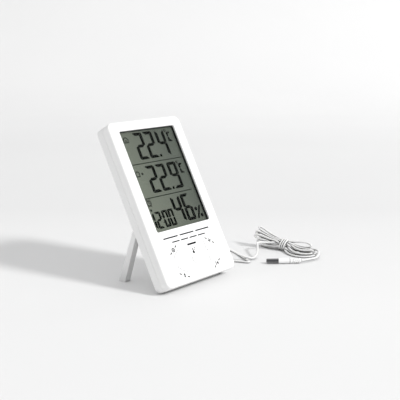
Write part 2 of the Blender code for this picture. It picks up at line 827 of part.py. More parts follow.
def arm(side):
    levels = [
        (ARM_X[0], ARM_CHAMFER),
        (ARM_X[0] + ARM_CHAMFER, 0),
        (ARM_X[1] - ARM_CHAMFER, 0),
        (ARM_X[1], ARM_CHAMFER),
    ]
    return loft(
        [[Vector((side * x, y, z)) * MM for y, z in arm_outline(inset)] for x, inset in levels]
    )


stand = node("stand", arm(1), WHITE, stand_axis)
add(stand, "left_arm", arm(-1))
rod_half = ARM_X[0] + 1.0
rod = turned([(ROD_R, -rod_half), (ROD_R, rod_half)], (0, 0, 0), TO_RIGHT)
add(stand, "stand_rod", rod)

# ---- screws: (radius, depth) profiles from the back of the head to the tip ----
CASE_SCREW = [
    (0, 2.5), (1.2, 2.55), (1.9, 2.9), (1.9, 3.8), (0.95, 3.8), (0.95, 12.2), (0, 13.2),
]
BOARD_SCREW = [
    (0, 5.2), (1.0, 5.25), (1.6, 5.6), (1.6, 6.5), (0.75, 6.5), (0.75, 11.6), (0, 12.4),
]
HEAD_ROW = 3  # the profile row where the head ends, which gives the origin's depth

for kind, places, profile, sides in (
    ("case", CORNER_SCREWS, CASE_SCREW, 12),
    ("board", BOARD_SCREWS, BOARD_SCREW, 10),
):
    for i, (x, z) in enumerate(places):
        screw = turned(profile, (x, 0, z), TO_FRONT, sides)
        part(f"{kind}_screw_{i + 1}", screw, STEEL, (x, profile[HEAD_ROW][1], z))

# ---- cable boot in the rear cover ----
# (radius, distance behind the back plane)
CABLE_BOOT = [
    (1.4, -2.8), (1.7, -2.8), (1.7, 0.25), (2.5, 0.25),
    (2.5, 1.5), (2.1, 1.8), (1.8, 5.6), (1.4, 5.6),
]
boot_place = (CABLE_HOLE[0], 0, CABLE_HOLE[1])
part("cable_boot", turned(CABLE_BOOT, boot_place, TO_BACK, 12, ring=True), CABLE, boot_place)

# ---- cable from the board to the hank ----
# (x, depth, z) in the housing
LEAD_IN_HOUSING = (
    (32.5, 5.2, 27.0), (36.0, 4.9, 25.2), (39.0, 4.2, 22.9), (40.0, 1.8, 22.0),
    (40.0, -2.0, 22.0), (40.0, -5.0, 22.0), (40.0, -8.0, 22.0),
)
# (x, y, z) in the object's own frame
LEAD_ON_TABLE = (
    (42.0, 26.0, 10.0), (50.0, 34.5, 4.2), (65.0, 43.5, 1.15), (86.0, 48.5, 1.1),
    (100.5, 44.5, 1.1), (101.5, 34.0, 1.1), (95.1, 21.0, 1.1), (88.6, 10.0, 1.1),
    (84.9, 3.4, 1.1), (83.2, -0.4, 1.1), (80.4, -0.8, 1.1), (78.4, 2.6, 1.1),
    (76.0, 9.4, 1.1), (71.0, 18.4, 1.1), (64.6, 26.6, 1.1), (59.0, 32.4, 1.1),
    (58.2, 36.6, 1.1), (62.0, 38.4, 2.4), (68.0, 34.4, 6.4), (73.6, 28.6, 10.2),
    (77.6, 22.4, 11.3), (79.6, 17.6, 9.8), (82.0, 14.0, 7.2), (84.2, 10.8, 5.0),
    (86.8, 6.6, 3.6), (90.2, 2.8, 2.1), (93.4, 1.8, 1.4), (97.4, 3.3, 1.8),
    (102.7, 4.6, 4.2), (108.5, 8.9, 6.6), (116.7, 15.2, 8.1), (124.0, 22.6, 8.4),
)
lead = [*[to_world(*point) for point in LEAD_IN_HOUSING], *LEAD_ON_TABLE]
node("cable_lead", swept(smooth_path(lead), CABLE_R), CABLE)

# ---- hank and its tie ----
HANK_BACK = Vector((137.5, 31.5, 15.5))
HANK_FRONT = Vector((149.5, -35.5, 5.0))
WAIST = 0.455  # where the tie sits, as a share of the way from back to front
WAIST_HALF_W = 4.5
WAIST_HALF_H = 4.3
HANK_SAG = 4.3
SAG_REACH = 0.5
TIE_HALF = 0.045
# (share of the way, half width, half height)
HANK_SECTIONS = (
    (-0.06, 3.0, 2.4),
    (0.0, 6.5, 5.0),
    (0.12, 7.5, 6.2),
    (0.3, 6.2, 5.4),
    (WAIST, WAIST_HALF_W, WAIST_HALF_H),
    (0.6, 5.4, 4.3),
    (0.8, 8.0, 4.6),
    (0.97, 6.5, 4.0),
    (1.05, 3.0, 2.0),
)

hank_axis = (HANK_FRONT - HANK_BACK).normalized()
hank_side = Vector((hank_axis.y, -hank_axis.x, 0)).normalized()
hank_up = hank_side.cross(hank_axis)


def hank_section(share, half_width, half_height):
    # The tied waist sags towards the table, between the two fanned ends.
    sag = HANK_SAG * max(0.0, 1 - ((share - WAIST) / SAG_REACH) ** 2)
    middle = HANK_BACK.lerp(HANK_FRONT, share) - Vector((0, 0, sag))
    return ellipse_loop(middle, hank_side, hank_up, half_width, half_height, 16)


node("cable_hank", loft([hank_section(*row) for row in HANK_SECTIONS]), CABLE, smooth=60)
band = [
    hank_section(WAIST + end * TIE_HALF, WAIST_HALF_W + grow, WAIST_HALF_H + grow)
    for end, grow in ((-1, 0.5), (1, 0.5), (1, 1.6), (-1, 1.6))
]
node("cable_tie", loft(band, ring=True), TIE)

# ---- cable between the probe and the hank, as (x, y, z) ----
TAIL = (
    (114.9, -39.3, 2.75), (119.8, -41.4, 2.7), (125.0, -42.6, 2.6),
    (131.5, -43.5, 2.3), (137.5, -42.8, 2.4),
)
node("cable_tail", swept(smooth_path(TAIL), CABLE_R), CABLE)

# ---- probe: (radius, distance from the tip) profiles ----
PROBE_TIP = Vector((91.1, -14.7, 2.75))
PROBE_END = Vector((114.1, -38.5, 2.75))
TIP_PROFILE = [
    (0, 0), (1.2, 0.2), (2.0, 0.9), (2.2, 1.9), (2.2, 14.0),
    (1.75, 14.0), (1.75, 2.4), (1.4, 1.4), (0, 1.0),
]
SENSOR_PROFILE = [
    (0, 3.0), (0.8, 3.3), (1.2, 4.4), (1.0, 6.0), (0.5, 7.0), (0.45, 12.6), (0, 12.7),
]
SLEEVE_PROFILE = [
    (2.45, 11.9), (2.6, 11.7), (2.7, 12.0), (2.7, 22.6), (1.6, 22.6), (1.6, 14.4), (2.45, 14.4),
]
BOOT_R = 2.72
BOOT_BORE_R = 1.25
GROOVE_R = 2.3
GROOVE_PITCH = 1.9

boot_profile = [(BOOT_BORE_R, 22.9), (BOOT_R, 22.9), (BOOT_R, 25.0)]
for k in range(4):
    start = 25.4 + GROOVE_PITCH * k
    boot_profile += [(GROOVE_R, start), (GROOVE_R, start + 0.5)]
    boot_profile += [(BOOT_R, start + 0.8), (BOOT_R, start + 1.5)]
boot_profile += [(2.2, 33.4), (BOOT_BORE_R, 33.4)]

probe_axis = PROBE_END - PROBE_TIP
for name, profile, material, sides, ring in (
    ("tip", TIP_PROFILE, TIP, 16, False),
    ("sensor", SENSOR_PROFILE, BEAD, 10, False),
    ("sleeve", SLEEVE_PROFILE, SLEEVE, 16, True),
    ("boot", boot_profile, SLEEVE, 16, True),
):
    node("probe_" + name, turned(profile, PROBE_TIP, probe_axis, sides, ring), material)
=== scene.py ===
"""Looks of a maximum-minimum thermometer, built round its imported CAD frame.

The housing leans back on a stand, its front towards -Y, with a cable hank and a probe on
the table (z = 0) to its right. Housing lengths are millimetres along its own axes
(x, d, z): d is the depth from the back plane towards the front face, z runs up along the
leaning face. at() turns them into metres in the CAD frame. The cable, hinge and probe are
given in millimetres along the CAD frame's own axes.
"""

from itertools import product
from math import asin, atan2, cos, pi, radians, sin, sqrt

import bmesh
import bpy
from mathutils import Matrix, Vector
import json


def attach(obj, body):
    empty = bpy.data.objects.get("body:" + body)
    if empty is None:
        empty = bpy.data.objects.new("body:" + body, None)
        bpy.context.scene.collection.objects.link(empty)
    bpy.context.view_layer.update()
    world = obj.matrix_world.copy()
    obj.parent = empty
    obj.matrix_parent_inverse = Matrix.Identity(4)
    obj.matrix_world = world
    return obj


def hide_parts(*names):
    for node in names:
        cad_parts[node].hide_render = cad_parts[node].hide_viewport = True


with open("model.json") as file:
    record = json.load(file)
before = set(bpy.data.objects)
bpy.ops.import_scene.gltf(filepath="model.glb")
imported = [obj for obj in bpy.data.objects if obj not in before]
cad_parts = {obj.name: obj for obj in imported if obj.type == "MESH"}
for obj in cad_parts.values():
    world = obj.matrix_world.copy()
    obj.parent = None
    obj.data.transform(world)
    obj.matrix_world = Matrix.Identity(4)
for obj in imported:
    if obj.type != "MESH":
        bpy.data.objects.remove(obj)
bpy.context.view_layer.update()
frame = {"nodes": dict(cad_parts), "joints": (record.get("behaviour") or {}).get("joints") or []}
nodes = frame["nodes"]
joints = {joint["name"]: joint for joint in frame["joints"]}

MM = 0.001
VIEW_YAW = radians(48.897)
VIEW_PITCH = radians(12.021)

# The lean comes from the direction in which a button is pressed.
press = Vector(joints["mode_press"]["axis"])
LEAN = atan2(-press.z, press.y)
LEAN_SIN, LEAN_COS = sin(LEAN), cos(LEAN)
hinge_at = Vector(joints["stand_hinge"]["pos_m"]) / MM
HINGE_Z = hinge_at.y * LEAN_SIN + hinge_at.z * LEAN_COS
HINGE_D = -hinge_at.y * LEAN_COS + hinge_at.z * LEAN_SIN

WIDTH, HEIGHT, DEPTH = 90.0, 152.0, 17.0
CORNER_R = 6.0
FRONT_R = 1.8
REAR_R = 1.2
FRONT_WALL = 2.0
ROOF_D = DEPTH - 1.7
HOLE_START_D = 13.5
# The two shells part at SPLIT_D; the front one starts a seam's width further forward.
SPLIT_D, SEAM = 8.1, 0.16
# The broken edge at the seam: distance from the seam, inset of the outline.
SEAM_LIP = ((0.0, 0.14), (0.05, 0.05), (0.14, 0.0))
WINDOW_HALF, WINDOW_LOW, WINDOW_HIGH, WINDOW_R = 34.4, 48.8, 143.1, 1.5
CORNER_SCREWS = [(x, z) for x in (-40.4, 40.4) for z in (8.0, 145.5)]
BOARD_SCREWS = [(-33.0, 38.0), (33.0, 38.0)]
CABLE_X, CABLE_Z = 40.0, 22.0


def at(x, d, z):
    return Vector((x, z * LEAN_SIN - d * LEAN_COS, z * LEAN_COS + d * LEAN_SIN)) * MM


def at_mm(x, d, z):
    return at(x, d, z) / MM


FORWARD, BACKWARD = at(0, 1, 0), at(0, -1, 0)


# --- Outlines: lists of points, most of them (x, z)
def quarter(steps):
    """The angles of a quarter turn."""
    return [radians(90 * k / steps) for k in range(steps + 1)]


def arc(x, z, radius, start, turn, steps):
    """Points of an arc; start and turn are in degrees."""
    angles = [radians(start + turn * k / steps) for k in range(steps + 1)]
    return [(x + radius * cos(a), z + radius * sin(a)) for a in angles]


def rounded(x, z, half_width, half_height, radius, steps):
    """A rounded rectangle round its centre."""
    radius = max(radius, 0.02)
    points = []
    for side_x, side_z, start in ((1, -1, -90), (1, 1, 0), (-1, 1, 90), (-1, -1, 180)):
        corner_x = x + side_x * (half_width - radius)
        corner_z = z + side_z * (half_height - radius)
        points += arc(corner_x, corner_z, radius, start, 90, steps)
    return points


def span(left, right, low, high, radius, steps=8):
    """A rounded rectangle between its sides."""
    middle_x, middle_z = (left + right) / 2, (low + high) / 2
    return rounded(middle_x, middle_z, (right - left) / 2, (high - low) / 2, radius, steps)


def shrinking(left, right, low, high, radius, steps=10):
    """A rounded rectangle as a function of its inset."""
    return lambda inset: span(
        left + inset, right - inset, low + inset, high - inset, radius - inset, steps
    )


def circle(x, z, radius, steps=32):
    angles = [2 * pi * k / steps for k in range(steps)]
    return [(x + radius * cos(a), z + radius * sin(a)) for a in angles]


def housing_outline(inset):
    half_width, half_height = WIDTH / 2 - inset, HEIGHT / 2 - inset
    return rounded(0, HEIGHT / 2, half_width, half_height, CORNER_R - inset, 14)


def corners(outline):
    """Each corner with the directions of the sides before and after it."""
    count = len(outline)
    for i in range(count):
        before, corner, after = (Vector(outline[(i + k) % count]) for k in (-1, 0, 1))
        yield corner, (corner - before).normalized(), (after - corner).normalized()


def grown(outline, distance):
    """An anticlockwise outline moved outwards."""
    moved = []
    for corner, arriving, leaving in corners(outline):
        normal = Vector((arriving.y, -arriving.x))
        mitre = normal + Vector((leaving.y, -leaving.x))
        mitre = mitre / max(mitre.dot(normal), 1e-6)
        moved.append((corner.x + mitre.x * distance, corner.y + mitre.y * distance))
    return moved


def anticlockwise(outline):
    following = outline[1:] + outline[:1]
    area = sum(a[0] * b[1] - b[0] * a[1] for a, b in zip(outline, following))
    return outline if area > 0 else outline[::-1]


# --- Closed bodies
def bridge(body, lower, upper):
    """Faces between two rows of vertices; a row of one vertex is a pole."""
    if 1 in (len(lower), len(upper)):
        (pole,), loop = sorted((lower, upper), key=len)
        for i in range(len(loop)):
            body.faces.new((pole, loop[i], loop[(i + 1) % len(loop)]))
        return
    for i in range(len(lower)):
        j = (i + 1) % len(lower)
        body.faces.new((lower[i], lower[j], upper[j], upper[i]))


def loft(loops, ring=False):
    """A skin over the loops, capped at its ends or, as a ring, joined end to start."""
    body = bmesh.new()
    rows = [[body.verts.new(point) for point in loop] for loop in loops]
    for lower, upper in zip(rows, rows[1:]):
        bridge(body, lower, upper)
    if ring:
        bridge(body, rows[-1], rows[0])
    else:
        for cap in (rows[0][::-1], rows[-1]):
            if len(cap) > 1:
                body.faces.new(cap)
    bmesh.ops.recalc_face_normals(body, faces=body.faces)
    return body


def stack(levels, ring=False):
    """A loft of (depth, outline) levels."""
    return loft([[at(x, d, z) for x, z in outline] for d, outline in levels], ring)


def slab(outline, back, front):
    return stack([(back, outline), (front, outline)])


def posts(places, radius, back, front, steps=32):
    return [slab(circle(x, z, radius, steps), back, front) for x, z in places]


def box(left, right, back, front, low, high):
    return slab([(right, low), (right, high), (left, high), (left, low)], back, front)


def across(outline, left, right):
    """A (d, z) outline drawn out along x."""
    return loft([[at(x, d, z) for d, z in outline] for x in (left, right)])


def round_over(end, radius, outline_at, steps, towards=1):
    """Levels of a rounded edge up to the depth end, reached forwards (1) or backwards (-1)."""
    return [
        (end - towards * radius * (1 - sin(a)), outline_at(radius * (1 - cos(a))))
        for a in quarter(steps)
    ]


def front_hole(outline, radius, reach, steps):
    """A cutter through the front face that rounds the mouth of its hole."""
    levels = round_over(DEPTH, radius, lambda wider: grown(outline, wider), steps)
    return stack([(HOLE_START_D, outline)] + levels + [(DEPTH + reach, grown(outline, radius))])


def hoop(centre, radius, side, other, steps):
    """A circle in metres round a centre in millimetres."""
    angles = [2 * pi * k / steps for k in range(steps)]
    return [(centre + radius * cos(a) * side + radius * sin(a) * other) * MM for a in angles]


def turned(profile, centre, axis, steps=28, ring=False):
    """A turned body from a (radius, height) profile; profile and centre are in millimetres."""
    axis = Vector(axis).normalized()
    side = axis.orthogonal().normalized()
    other = axis.cross(side)
    loops = []
    for radius, height in profile:
        middle = Vector(centre) + axis * height
        loops.append([middle * MM] if radius == 0 else hoop(middle, radius, side, other, steps))
    return loft(loops, ring)


def swept(path, radius, steps):
    """A capped tube along a path in millimetres; its frame is carried along without twist."""
    last = len(path) - 1
    side = None
    loops = []
    for i, point in enumerate(path):
        along = (path[min(i + 1, last)] - path[max(i - 1, 0)]).normalized()
        side = (side or along.orthogonal()).normalized()
        side = (side - along * side.dot(along)).normalized()
        # The ends are drawn in a little, so that a cut end looks rounded.
        shrink = 0.82 if i in (0, last) else 1.0
        loops.append(hoop(point, radius * shrink, side, along.cross(side), steps))
    return loft(loops)


def joined(*bodies):
    whole = bmesh.new()
    for body in bodies:
        mesh = bpy.data.meshes.new("piece")
        body.to_mesh(mesh)
        body.free()
        whole.from_mesh(mesh)
        bpy.data.meshes.remove(mesh)
    return whole


# --- Objects
def raw(name, body):
    mesh = bpy.data.meshes.new(name)
    body.to_mesh(mesh)
    body.free()
    made = bpy.data.objects.new(name, mesh)
    bpy.context.scene.collection.objects.link(made)
    return made


def carve(target, operation, bodies):
    """Applies one exact Boolean to the target's mesh at once."""
    helper = raw("helper", joined(*bodies))
    modifier = target.modifiers.new("cut", "BOOLEAN")
    modifier.operation = operation
    modifier.solver = "EXACT"
    modifier.object = helper
    graph = bpy.context.evaluated_depsgraph_get()
    result = bpy.data.meshes.new_from_object(target.evaluated_get(graph))
    target.modifiers.clear()
    old = target.data
    target.data = result
    bpy.data.meshes.remove(old)
    helper_mesh = helper.data
    bpy.data.objects.remove(helper)
    bpy.data.meshes.remove(helper_mesh)


def fuse(target, *bodies):
    carve(target, "UNION", bodies)


def cut(target, *bodies):
    carve(target, "DIFFERENCE", bodies)


def split_across(target, places):
    """Cuts the faces along upright planes, so that holes made there later open onto an edge."""
    body = bmesh.new()
    body.from_mesh(target.data)
    for x in places:
        bmesh.ops.bisect_plane(
            body,
            geom=body.verts[:] + body.edges[:] + body.faces[:],
            dist=1e-7,
            plane_co=(x * MM, 0, 0),
            plane_no=(1, 0, 0),
        )
    body.to_mesh(target.data)
    body.free()


def paint(obj, material):
    obj.data.materials.clear()
    obj.data.materials.append(MATERIALS[material])


def dress(obj, material, slot, stands_for=(), rides="housing", smooth=32, weighted=True):
    """Material, shading (smooth is the sharp-edge angle, 0 for flat) and role of a piece."""
    paint(obj, material)
    if smooth:
        obj.data.shade_smooth()
        obj.data.set_sharp_from_angle(angle=radians(smooth))
        if weighted:
            modifier = obj.modifiers.new("even_normals", "WEIGHTED_NORMAL")
            modifier.keep_sharp = True
            modifier.weight = 80
    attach(obj, rides)
    if stands_for:
        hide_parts(*stands_for)


def piece(name, body, material, slot, **settings):
    dress(raw(name, body), material, slot, **settings)


# --- Materials
class NodeTree:
    """A short way to write the nodes of a material or a world."""

    def __init__(self, owner, shader="Principled BSDF"):
        owner.use_nodes = True
        self.owner = owner
        self.tree = owner.node_tree
        self.shader = self.tree.nodes[shader]

    def put(self, socket, value):
        """Links a socket to the input, or sets a plain value on it."""
        if isinstance(value, bpy.types.NodeSocket):
            self.tree.links.new(value, socket)
        else:
            socket.default_value = value

    def feed(self, name, value):
        self.put(self.shader.inputs[name], value)

    def add(self, kind, **values):
        made = self.tree.nodes.new(kind)
        for key, value in values.items():
            if key in made.inputs.keys():
                self.put(made.inputs[key], value)
            else:
                setattr(made, key, value)
        return made

    def coordinates(self, kind="Object"):
        return self.add("ShaderNodeTexCoord").outputs[kind]

    def separate(self, kind="Object"):
        return self.add("ShaderNodeSeparateXYZ", Vector=self.coordinates(kind)).outputs

    def stretched(self, scale):
        mapping = self.add("ShaderNodeMapping", Scale=scale, Vector=self.coordinates())
        return mapping.outputs["Vector"]

    def noise(self, scale, detail=3.0, roughness=0.5, vector=None):
        vector = vector or self.coordinates()
        made = self.add(
            "ShaderNodeTexNoise", Scale=scale, Detail=detail, Roughness=roughness, Vector=vector
        )
        return made.outputs["Fac"]

    def ramp(self, factor, *stops):
        made = self.add("ShaderNodeValToRGB", Fac=factor)
        ramp = made.color_ramp
        while len(ramp.elements) < len(stops):
            ramp.elements.new(0.5)
        for element, (position, colour) in zip(ramp.elements, stops):
            element.position = position
            element.color = (*colour, 1.0)
        return made.outputs["Color"]

    def math(self, operation, *values):
        made = self.add("ShaderNodeMath", operation=operation)
        for socket, value in zip(made.inputs, (*values, 0.0, 0.0)):
            self.put(socket, value)
        return made.outputs[0]

    def range(self, factor, low, high):
        return self.math("MULTIPLY_ADD", factor, high - low, low)

    def mix(self, factor, first, second, blend="MIX"):
        made = self.add("ShaderNodeMix", data_type="RGBA", blend_type=blend)
        for index, value in ((0, factor), (6, first), (7, second)):
            self.put(made.inputs[index], value)
        return made.outputs[2]

    def scaled(self, vector, factor):
        made = self.add("ShaderNodeVectorMath", operation="SCALE", Vector=vector, Scale=factor)
        return made.outputs["Vector"]

    def openness(self, reach, samples):
        """The share of open space within reach, in metres."""
        made = self.add("ShaderNodeAmbientOcclusion", Distance=reach, samples=samples)
        return made.outputs["AO"]

    def facing(self):
        return self.add("ShaderNodeLayerWeight").outputs["Facing"]

    def bump(self, height, strength, distance):
        made = self.add("ShaderNodeBump", Strength=strength, Distance=distance, Height=height)
        self.feed("Normal", made.outputs["Normal"])


def material_nodes(name):
    return NodeTree(bpy.data.materials.new(name))


def dimmed(colour, share):
    return tuple(c * share for c in colour)


def moulded(name, colour, roughness, grain, relief, tint, specular=0.45, shade=None):
    """Moulded plastic: a fine spark-eroded grain, faint flow marks and slight colour drift; given
    a shade, also painted shade in its colour.
    """
    n = material_nodes(name)
    drift = n.noise(scale=55.0, detail=4.0)
    light = tuple(min(1.0, c * (1 + tint)) for c in colour)
    skin = n.ramp(drift, (0.3, dimmed(colour, 1 - tint)), (0.7, light))
    if shade:
        # Painted shade: faces turned to something near are darkened in their colour.
        reach, darkest = shade
        level = n.math("MULTIPLY_ADD", n.openness(reach, samples=6), 1 - darkest, darkest)
        skin = n.scaled(skin, level)
    n.feed("Base Color", skin)
    pits = n.noise(scale=grain, detail=2.0, roughness=0.6)
    flow = n.noise(scale=260.0)
    n.feed("Roughness", n.range(flow, roughness - 0.05, roughness + 0.07))
    height = n.math("MULTIPLY_ADD", flow, 0.35, n.math("MULTIPLY", pits, 0.65))
    n.bump(height, strength=relief, distance=0.00005)
    n.feed("Specular IOR Level", specular)
    return n.owner


def metal(name, colour, roughness, brushed, dark, painted_rim_reflection=None):
    """Slightly stained metal with fine scratches, drawn out by the scale vector brushed; with a
    rim colour, also a painted reflection that lightens it towards its edges.
    """
    n = material_nodes(name)
    lines = n.noise(scale=1400.0, detail=4.0, roughness=0.65, vector=n.stretched(brushed))
    stain = n.noise(scale=120.0)
    skin = n.ramp(stain, (0.25, dimmed(colour, dark)), (0.75, colour))
    n.feed("Roughness", n.range(lines, roughness - 0.1, roughness + 0.12))
    n.bump(lines, strength=0.12, distance=0.00003)
    n.feed("Metallic", 1.0)
    if painted_rim_reflection:
        # Painted reflection: the colour is darkest where the steel is seen straight on and turns
        # to the rim colour towards its edges.
        skin = n.mix(n.math("POWER", n.facing(), 0.6), skin, (*painted_rim_reflection, 1.0))
    n.feed("Base Color", skin)
    return n.owner


def ink(name, colour, roughness, specular):
    """Pad-printed ink with a slightly uneven cover."""
    n = material_nodes(name)
    cover = n.noise(scale=1900.0, roughness=0.6)
    thin = tuple(min(1.0, c * 1.5 + 0.004) for c in colour)
    n.feed("Base Color", n.ramp(cover, (0.2, colour), (0.9, thin)))
    n.feed("Roughness", n.range(cover, roughness - 0.08, roughness + 0.1))
    n.feed("Specular IOR Level", specular)
    return n.owner


def display_surface():
    """The liquid crystal cell: grey-green with painted shade that darkens it to the upper right,
    fibrous polariser.
    """
    n = material_nodes("lcd_surface")
    place = n.separate()
    # Painted shade: a gradient per metre along X and Z; the offsets centre it on the display.
    painted_shade_gradient = n.math("MULTIPLY_ADD", place["X"], 14.3, 0.5)
    painted_shade_gradient = n.math("MULTIPLY_ADD", place["Z"], 4.4, n.math("SUBTRACT", painted_shade_gradient, 0.242))
    mottled = n.noise(scale=90.0, detail=4.0, roughness=0.6)
    blend = n.math("MULTIPLY_ADD", mottled, 0.22, n.math("SUBTRACT", painted_shade_gradient, 0.11))
    skin = n.ramp(
        blend,
        (0.0, (0.176, 0.188, 0.154)),
        (0.5, (0.142, 0.153, 0.127)),
        (1.0, (0.102, 0.112, 0.096)),
    )
    n.feed("Base Color", skin)
    fibres = n.noise(scale=700.0, roughness=0.6, vector=n.stretched((1.0, 8.0, 8.0)))
    n.feed("Roughness", n.range(fibres, 0.28, 0.42))
    n.bump(fibres, strength=0.05, distance=0.00002)
    n.feed("Specular IOR Level", 0.05)
    return n.owner


def window_glass():
    """Thin clear acrylic: it lets light through straight and reflects a little at a slant."""
    n = material_nodes("window_acrylic")
    n.tree.nodes.remove(n.shader)
    clear = n.add("ShaderNodeBsdfTransparent", Color=(0.965, 0.975, 0.97, 1.0))
    gloss = n.add("ShaderNodeBsdfGlossy", Roughness=n.range(n.noise(scale=420.0), 0.02, 0.07))
    share = n.math("MULTIPLY_ADD", n.math("POWER", n.facing(), 4.0), 0.35, 0.005)
    mixed = n.add("ShaderNodeMixShader")
    for socket, value in zip(mixed.inputs, (share, clear.outputs[0], gloss.outputs[0])):
        n.put(socket, value)
    n.put(n.tree.nodes["Material Output"].inputs["Surface"], mixed.outputs[0])
    return n.owner


def soft_vinyl():
    """The cable's soft PVC: satin, faintly rippled, with painted shade in the gaps between
    strands.
    """
    n = material_nodes("cable_vinyl")
    colour = (0.83, 0.83, 0.826)
    ripple = n.noise(scale=900.0)
    drift = n.noise(scale=70.0)
    skin = n.ramp(drift, (0.3, dimmed(colour, 0.965)), (0.7, colour))
    # Painted shade: the colour darkens towards grey where strands lie side by side.
    painted_gap_shade = n.math("POWER", n.openness(0.003, samples=8), 1.7)
    n.feed("Base Color", n.mix(painted_gap_shade, (0.22, 0.22, 0.22, 1.0), skin))
    n.feed("Roughness", n.range(ripple, 0.36, 0.5))
    n.bump(ripple, strength=0.12, distance=0.00006)
    n.feed("Subsurface Weight", 0.4)
    n.feed("Subsurface Radius", (0.0016, 0.0016, 0.0015))
    n.feed("Specular IOR Level", 0.4)
    return n.owner


def solder_resist():
    """Green solder resist with copper tracks under it."""
    n = material_nodes("solder_resist")
    tracks = n.add(
        "ShaderNodeTexVoronoi", feature="DISTANCE_TO_EDGE", Scale=320.0, Vector=n.coordinates()
    )
    edge = tracks.outputs["Distance"]
    skin = n.ramp(edge, (0.02, (0.05, 0.24, 0.1)), (0.06, (0.02, 0.12, 0.05)))
    n.feed("Base Color", skin)
    n.feed("Roughness", n.range(n.noise(scale=600.0), 0.3, 0.45))
    return n.owner


# Painted shade: share of the paper's brightness along the view, from near to far.
FLOOR_PAINTED_FALLOFF = (
    (0.08, 0.985), (0.2, 0.95), (0.25, 0.912), (0.55, 0.915), (0.7, 0.94), (0.85, 0.94),
    (1.0, 0.945),
)


def floor_surface():
    n = material_nodes("studio_sweep")
    cloud = n.noise(scale=1.7, detail=2.0)
    paper = n.ramp(cloud, (0.3, (0.797, 0.797, 0.799)), (0.7, (0.812, 0.812, 0.812)))
    # Painted shade: the paper is made a little greyer behind the object than in front of it.
    place = n.separate()
    away = n.math("MULTIPLY_ADD", place["Y"], 0.5 * cos(VIEW_YAW), 0.1)
    away = n.math("MULTIPLY_ADD", place["X"], 0.5 * sin(VIEW_YAW), away)
    painted_falloff = n.ramp(away, *[(position, (grey, grey, grey)) for position, grey in FLOOR_PAINTED_FALLOFF])
    # Painted light and shade: it is also a trace lighter to the right, and a painted contact
    # shadow darkens it close to where things stand on it.
    painted_side_light = n.math("MULTIPLY_ADD", place["Y"], -0.08 * sin(VIEW_YAW), 0.997)
    painted_side_light = n.math("MULTIPLY_ADD", place["X"], 0.08 * cos(VIEW_YAW), painted_side_light)
    painted_contact_shade = n.math("MULTIPLY_ADD", n.openness(0.003, samples=6), 0.4, 0.6)
    level = n.math("MULTIPLY", painted_side_light, painted_contact_shade)
    n.feed("Base Color", n.scaled(n.mix(1.0, paper, painted_falloff, blend="MULTIPLY"), level))
    n.feed("Roughness", n.range(n.noise(scale=14.0), 0.65, 0.8))
    n.feed("Specular IOR Level", 0.15)
    return n.owner


# Colour, roughness, grain scale, grain relief, colour drift, specular level; for the stand
# also its painted shade: reach in metres and darkest share.
PLASTICS = {
    "white_abs": ((0.865, 0.865, 0.862), 0.4, 3000.0, 0.1, 0.008),
    "white_abs_rear": ((0.855, 0.855, 0.852), 0.46, 2200.0, 0.16, 0.01),
    "white_button": ((0.87, 0.87, 0.868), 0.34, 3600.0, 0.06, 0.008),
    "white_stand": ((0.86, 0.86, 0.857), 0.42, 2600.0, 0.12, 0.01, 0.45, (0.045, 0.62)),
    "black_gasket": ((0.011, 0.011, 0.012), 0.55, 2600.0, 0.2, 0.15, 0.2),
    "probe_sleeve_white": ((0.86, 0.86, 0.858), 0.36, 3400.0, 0.08, 0.01),
    "natural_abs": ((0.62, 0.62, 0.6), 0.5, 2400.0, 0.1, 0.04),
    "zebra_rubber": ((0.045, 0.045, 0.05), 0.7, 2600.0, 0.2, 0.3, 0.2),
    "cell_glass": ((0.5, 0.53, 0.5), 0.12, 900.0, 0.03, 0.04),
    "potting_epoxy": ((0.012, 0.012, 0.013), 0.25, 500.0, 0.15, 0.2),
    "sensor_case": ((0.78, 0.78, 0.75), 0.5, 2600.0, 0.1, 0.03),
    "thermistor_bead": ((0.02, 0.018, 0.018), 0.3, 1400.0, 0.1, 0.2),
    "switch_case": ((0.03, 0.03, 0.032), 0.45, 2600.0, 0.15, 0.2),
    "switch_plunger": ((0.05, 0.05, 0.055), 0.5, 2600.0, 0.15, 0.2),
    "cell_label": ((0.05, 0.1, 0.16), 0.3, 700.0, 0.06, 0.1),
}
# Colour, roughness, scratch scale, share left by stains; for the probe also its rim colour. The
# probe's dark colour and lighter rim colour are a painted reflection.
METALS = {
    "probe_steel": ((0.046, 0.046, 0.048), 0.3, (6.0, 6.0, 0.6), 0.8, (0.5, 0.5, 0.51)),
    "zinc_screw": ((0.55, 0.55, 0.54), 0.32, (1.0, 1.0, 1.0), 0.75),
    "reflector_foil": ((0.6, 0.61, 0.6), 0.42, (1.0, 1.0, 12.0), 0.85),
    "tinned_spring_steel": ((0.68, 0.68, 0.66), 0.3, (1.0, 1.0, 1.0), 0.8),
    "sounder_brass": ((0.72, 0.53, 0.24), 0.3, (3.0, 3.0, 0.4), 0.75),
}
# Colour, roughness, specular level.
INKS = {
    "lcd_segment": ((0.002, 0.0025, 0.002), 0.4, 0.0),
    "lcd_rule": ((0.012, 0.013, 0.011), 0.45, 0.02),
    "lcd_faint_mark": ((0.014, 0.015, 0.013), 0.45, 0.02),
    "case_print": ((0.008, 0.008, 0.01), 0.5, 0.02),
}
MATERIALS = {
    "lcd_surface": display_surface(),
    "window_acrylic": window_glass(),
    "cable_vinyl": soft_vinyl(),
    "solder_resist": solder_resist(),
    "studio_sweep": floor_surface(),
}
for make, table in ((moulded, PLASTICS), (metal, METALS), (ink, INKS)):
    MATERIALS |= {name: make(name, *row) for name, row in table.items()}

# --- Button outlines: four quadrants of an ellipse and a small oval in the middle
BUTTON_RING_Z = 20.0
BUTTON_RING_HALF_WIDTH, BUTTON_RING_HALF_HEIGHT = 27.5, 13.5
# Distance of a quadrant's inner sides from the ellipse's centre, and its corner radius.
BUTTON_X, BUTTON_Z, BUTTON_R = 15.0, 2.5, 1.2
BUTTON_ARC_STEPS = 18


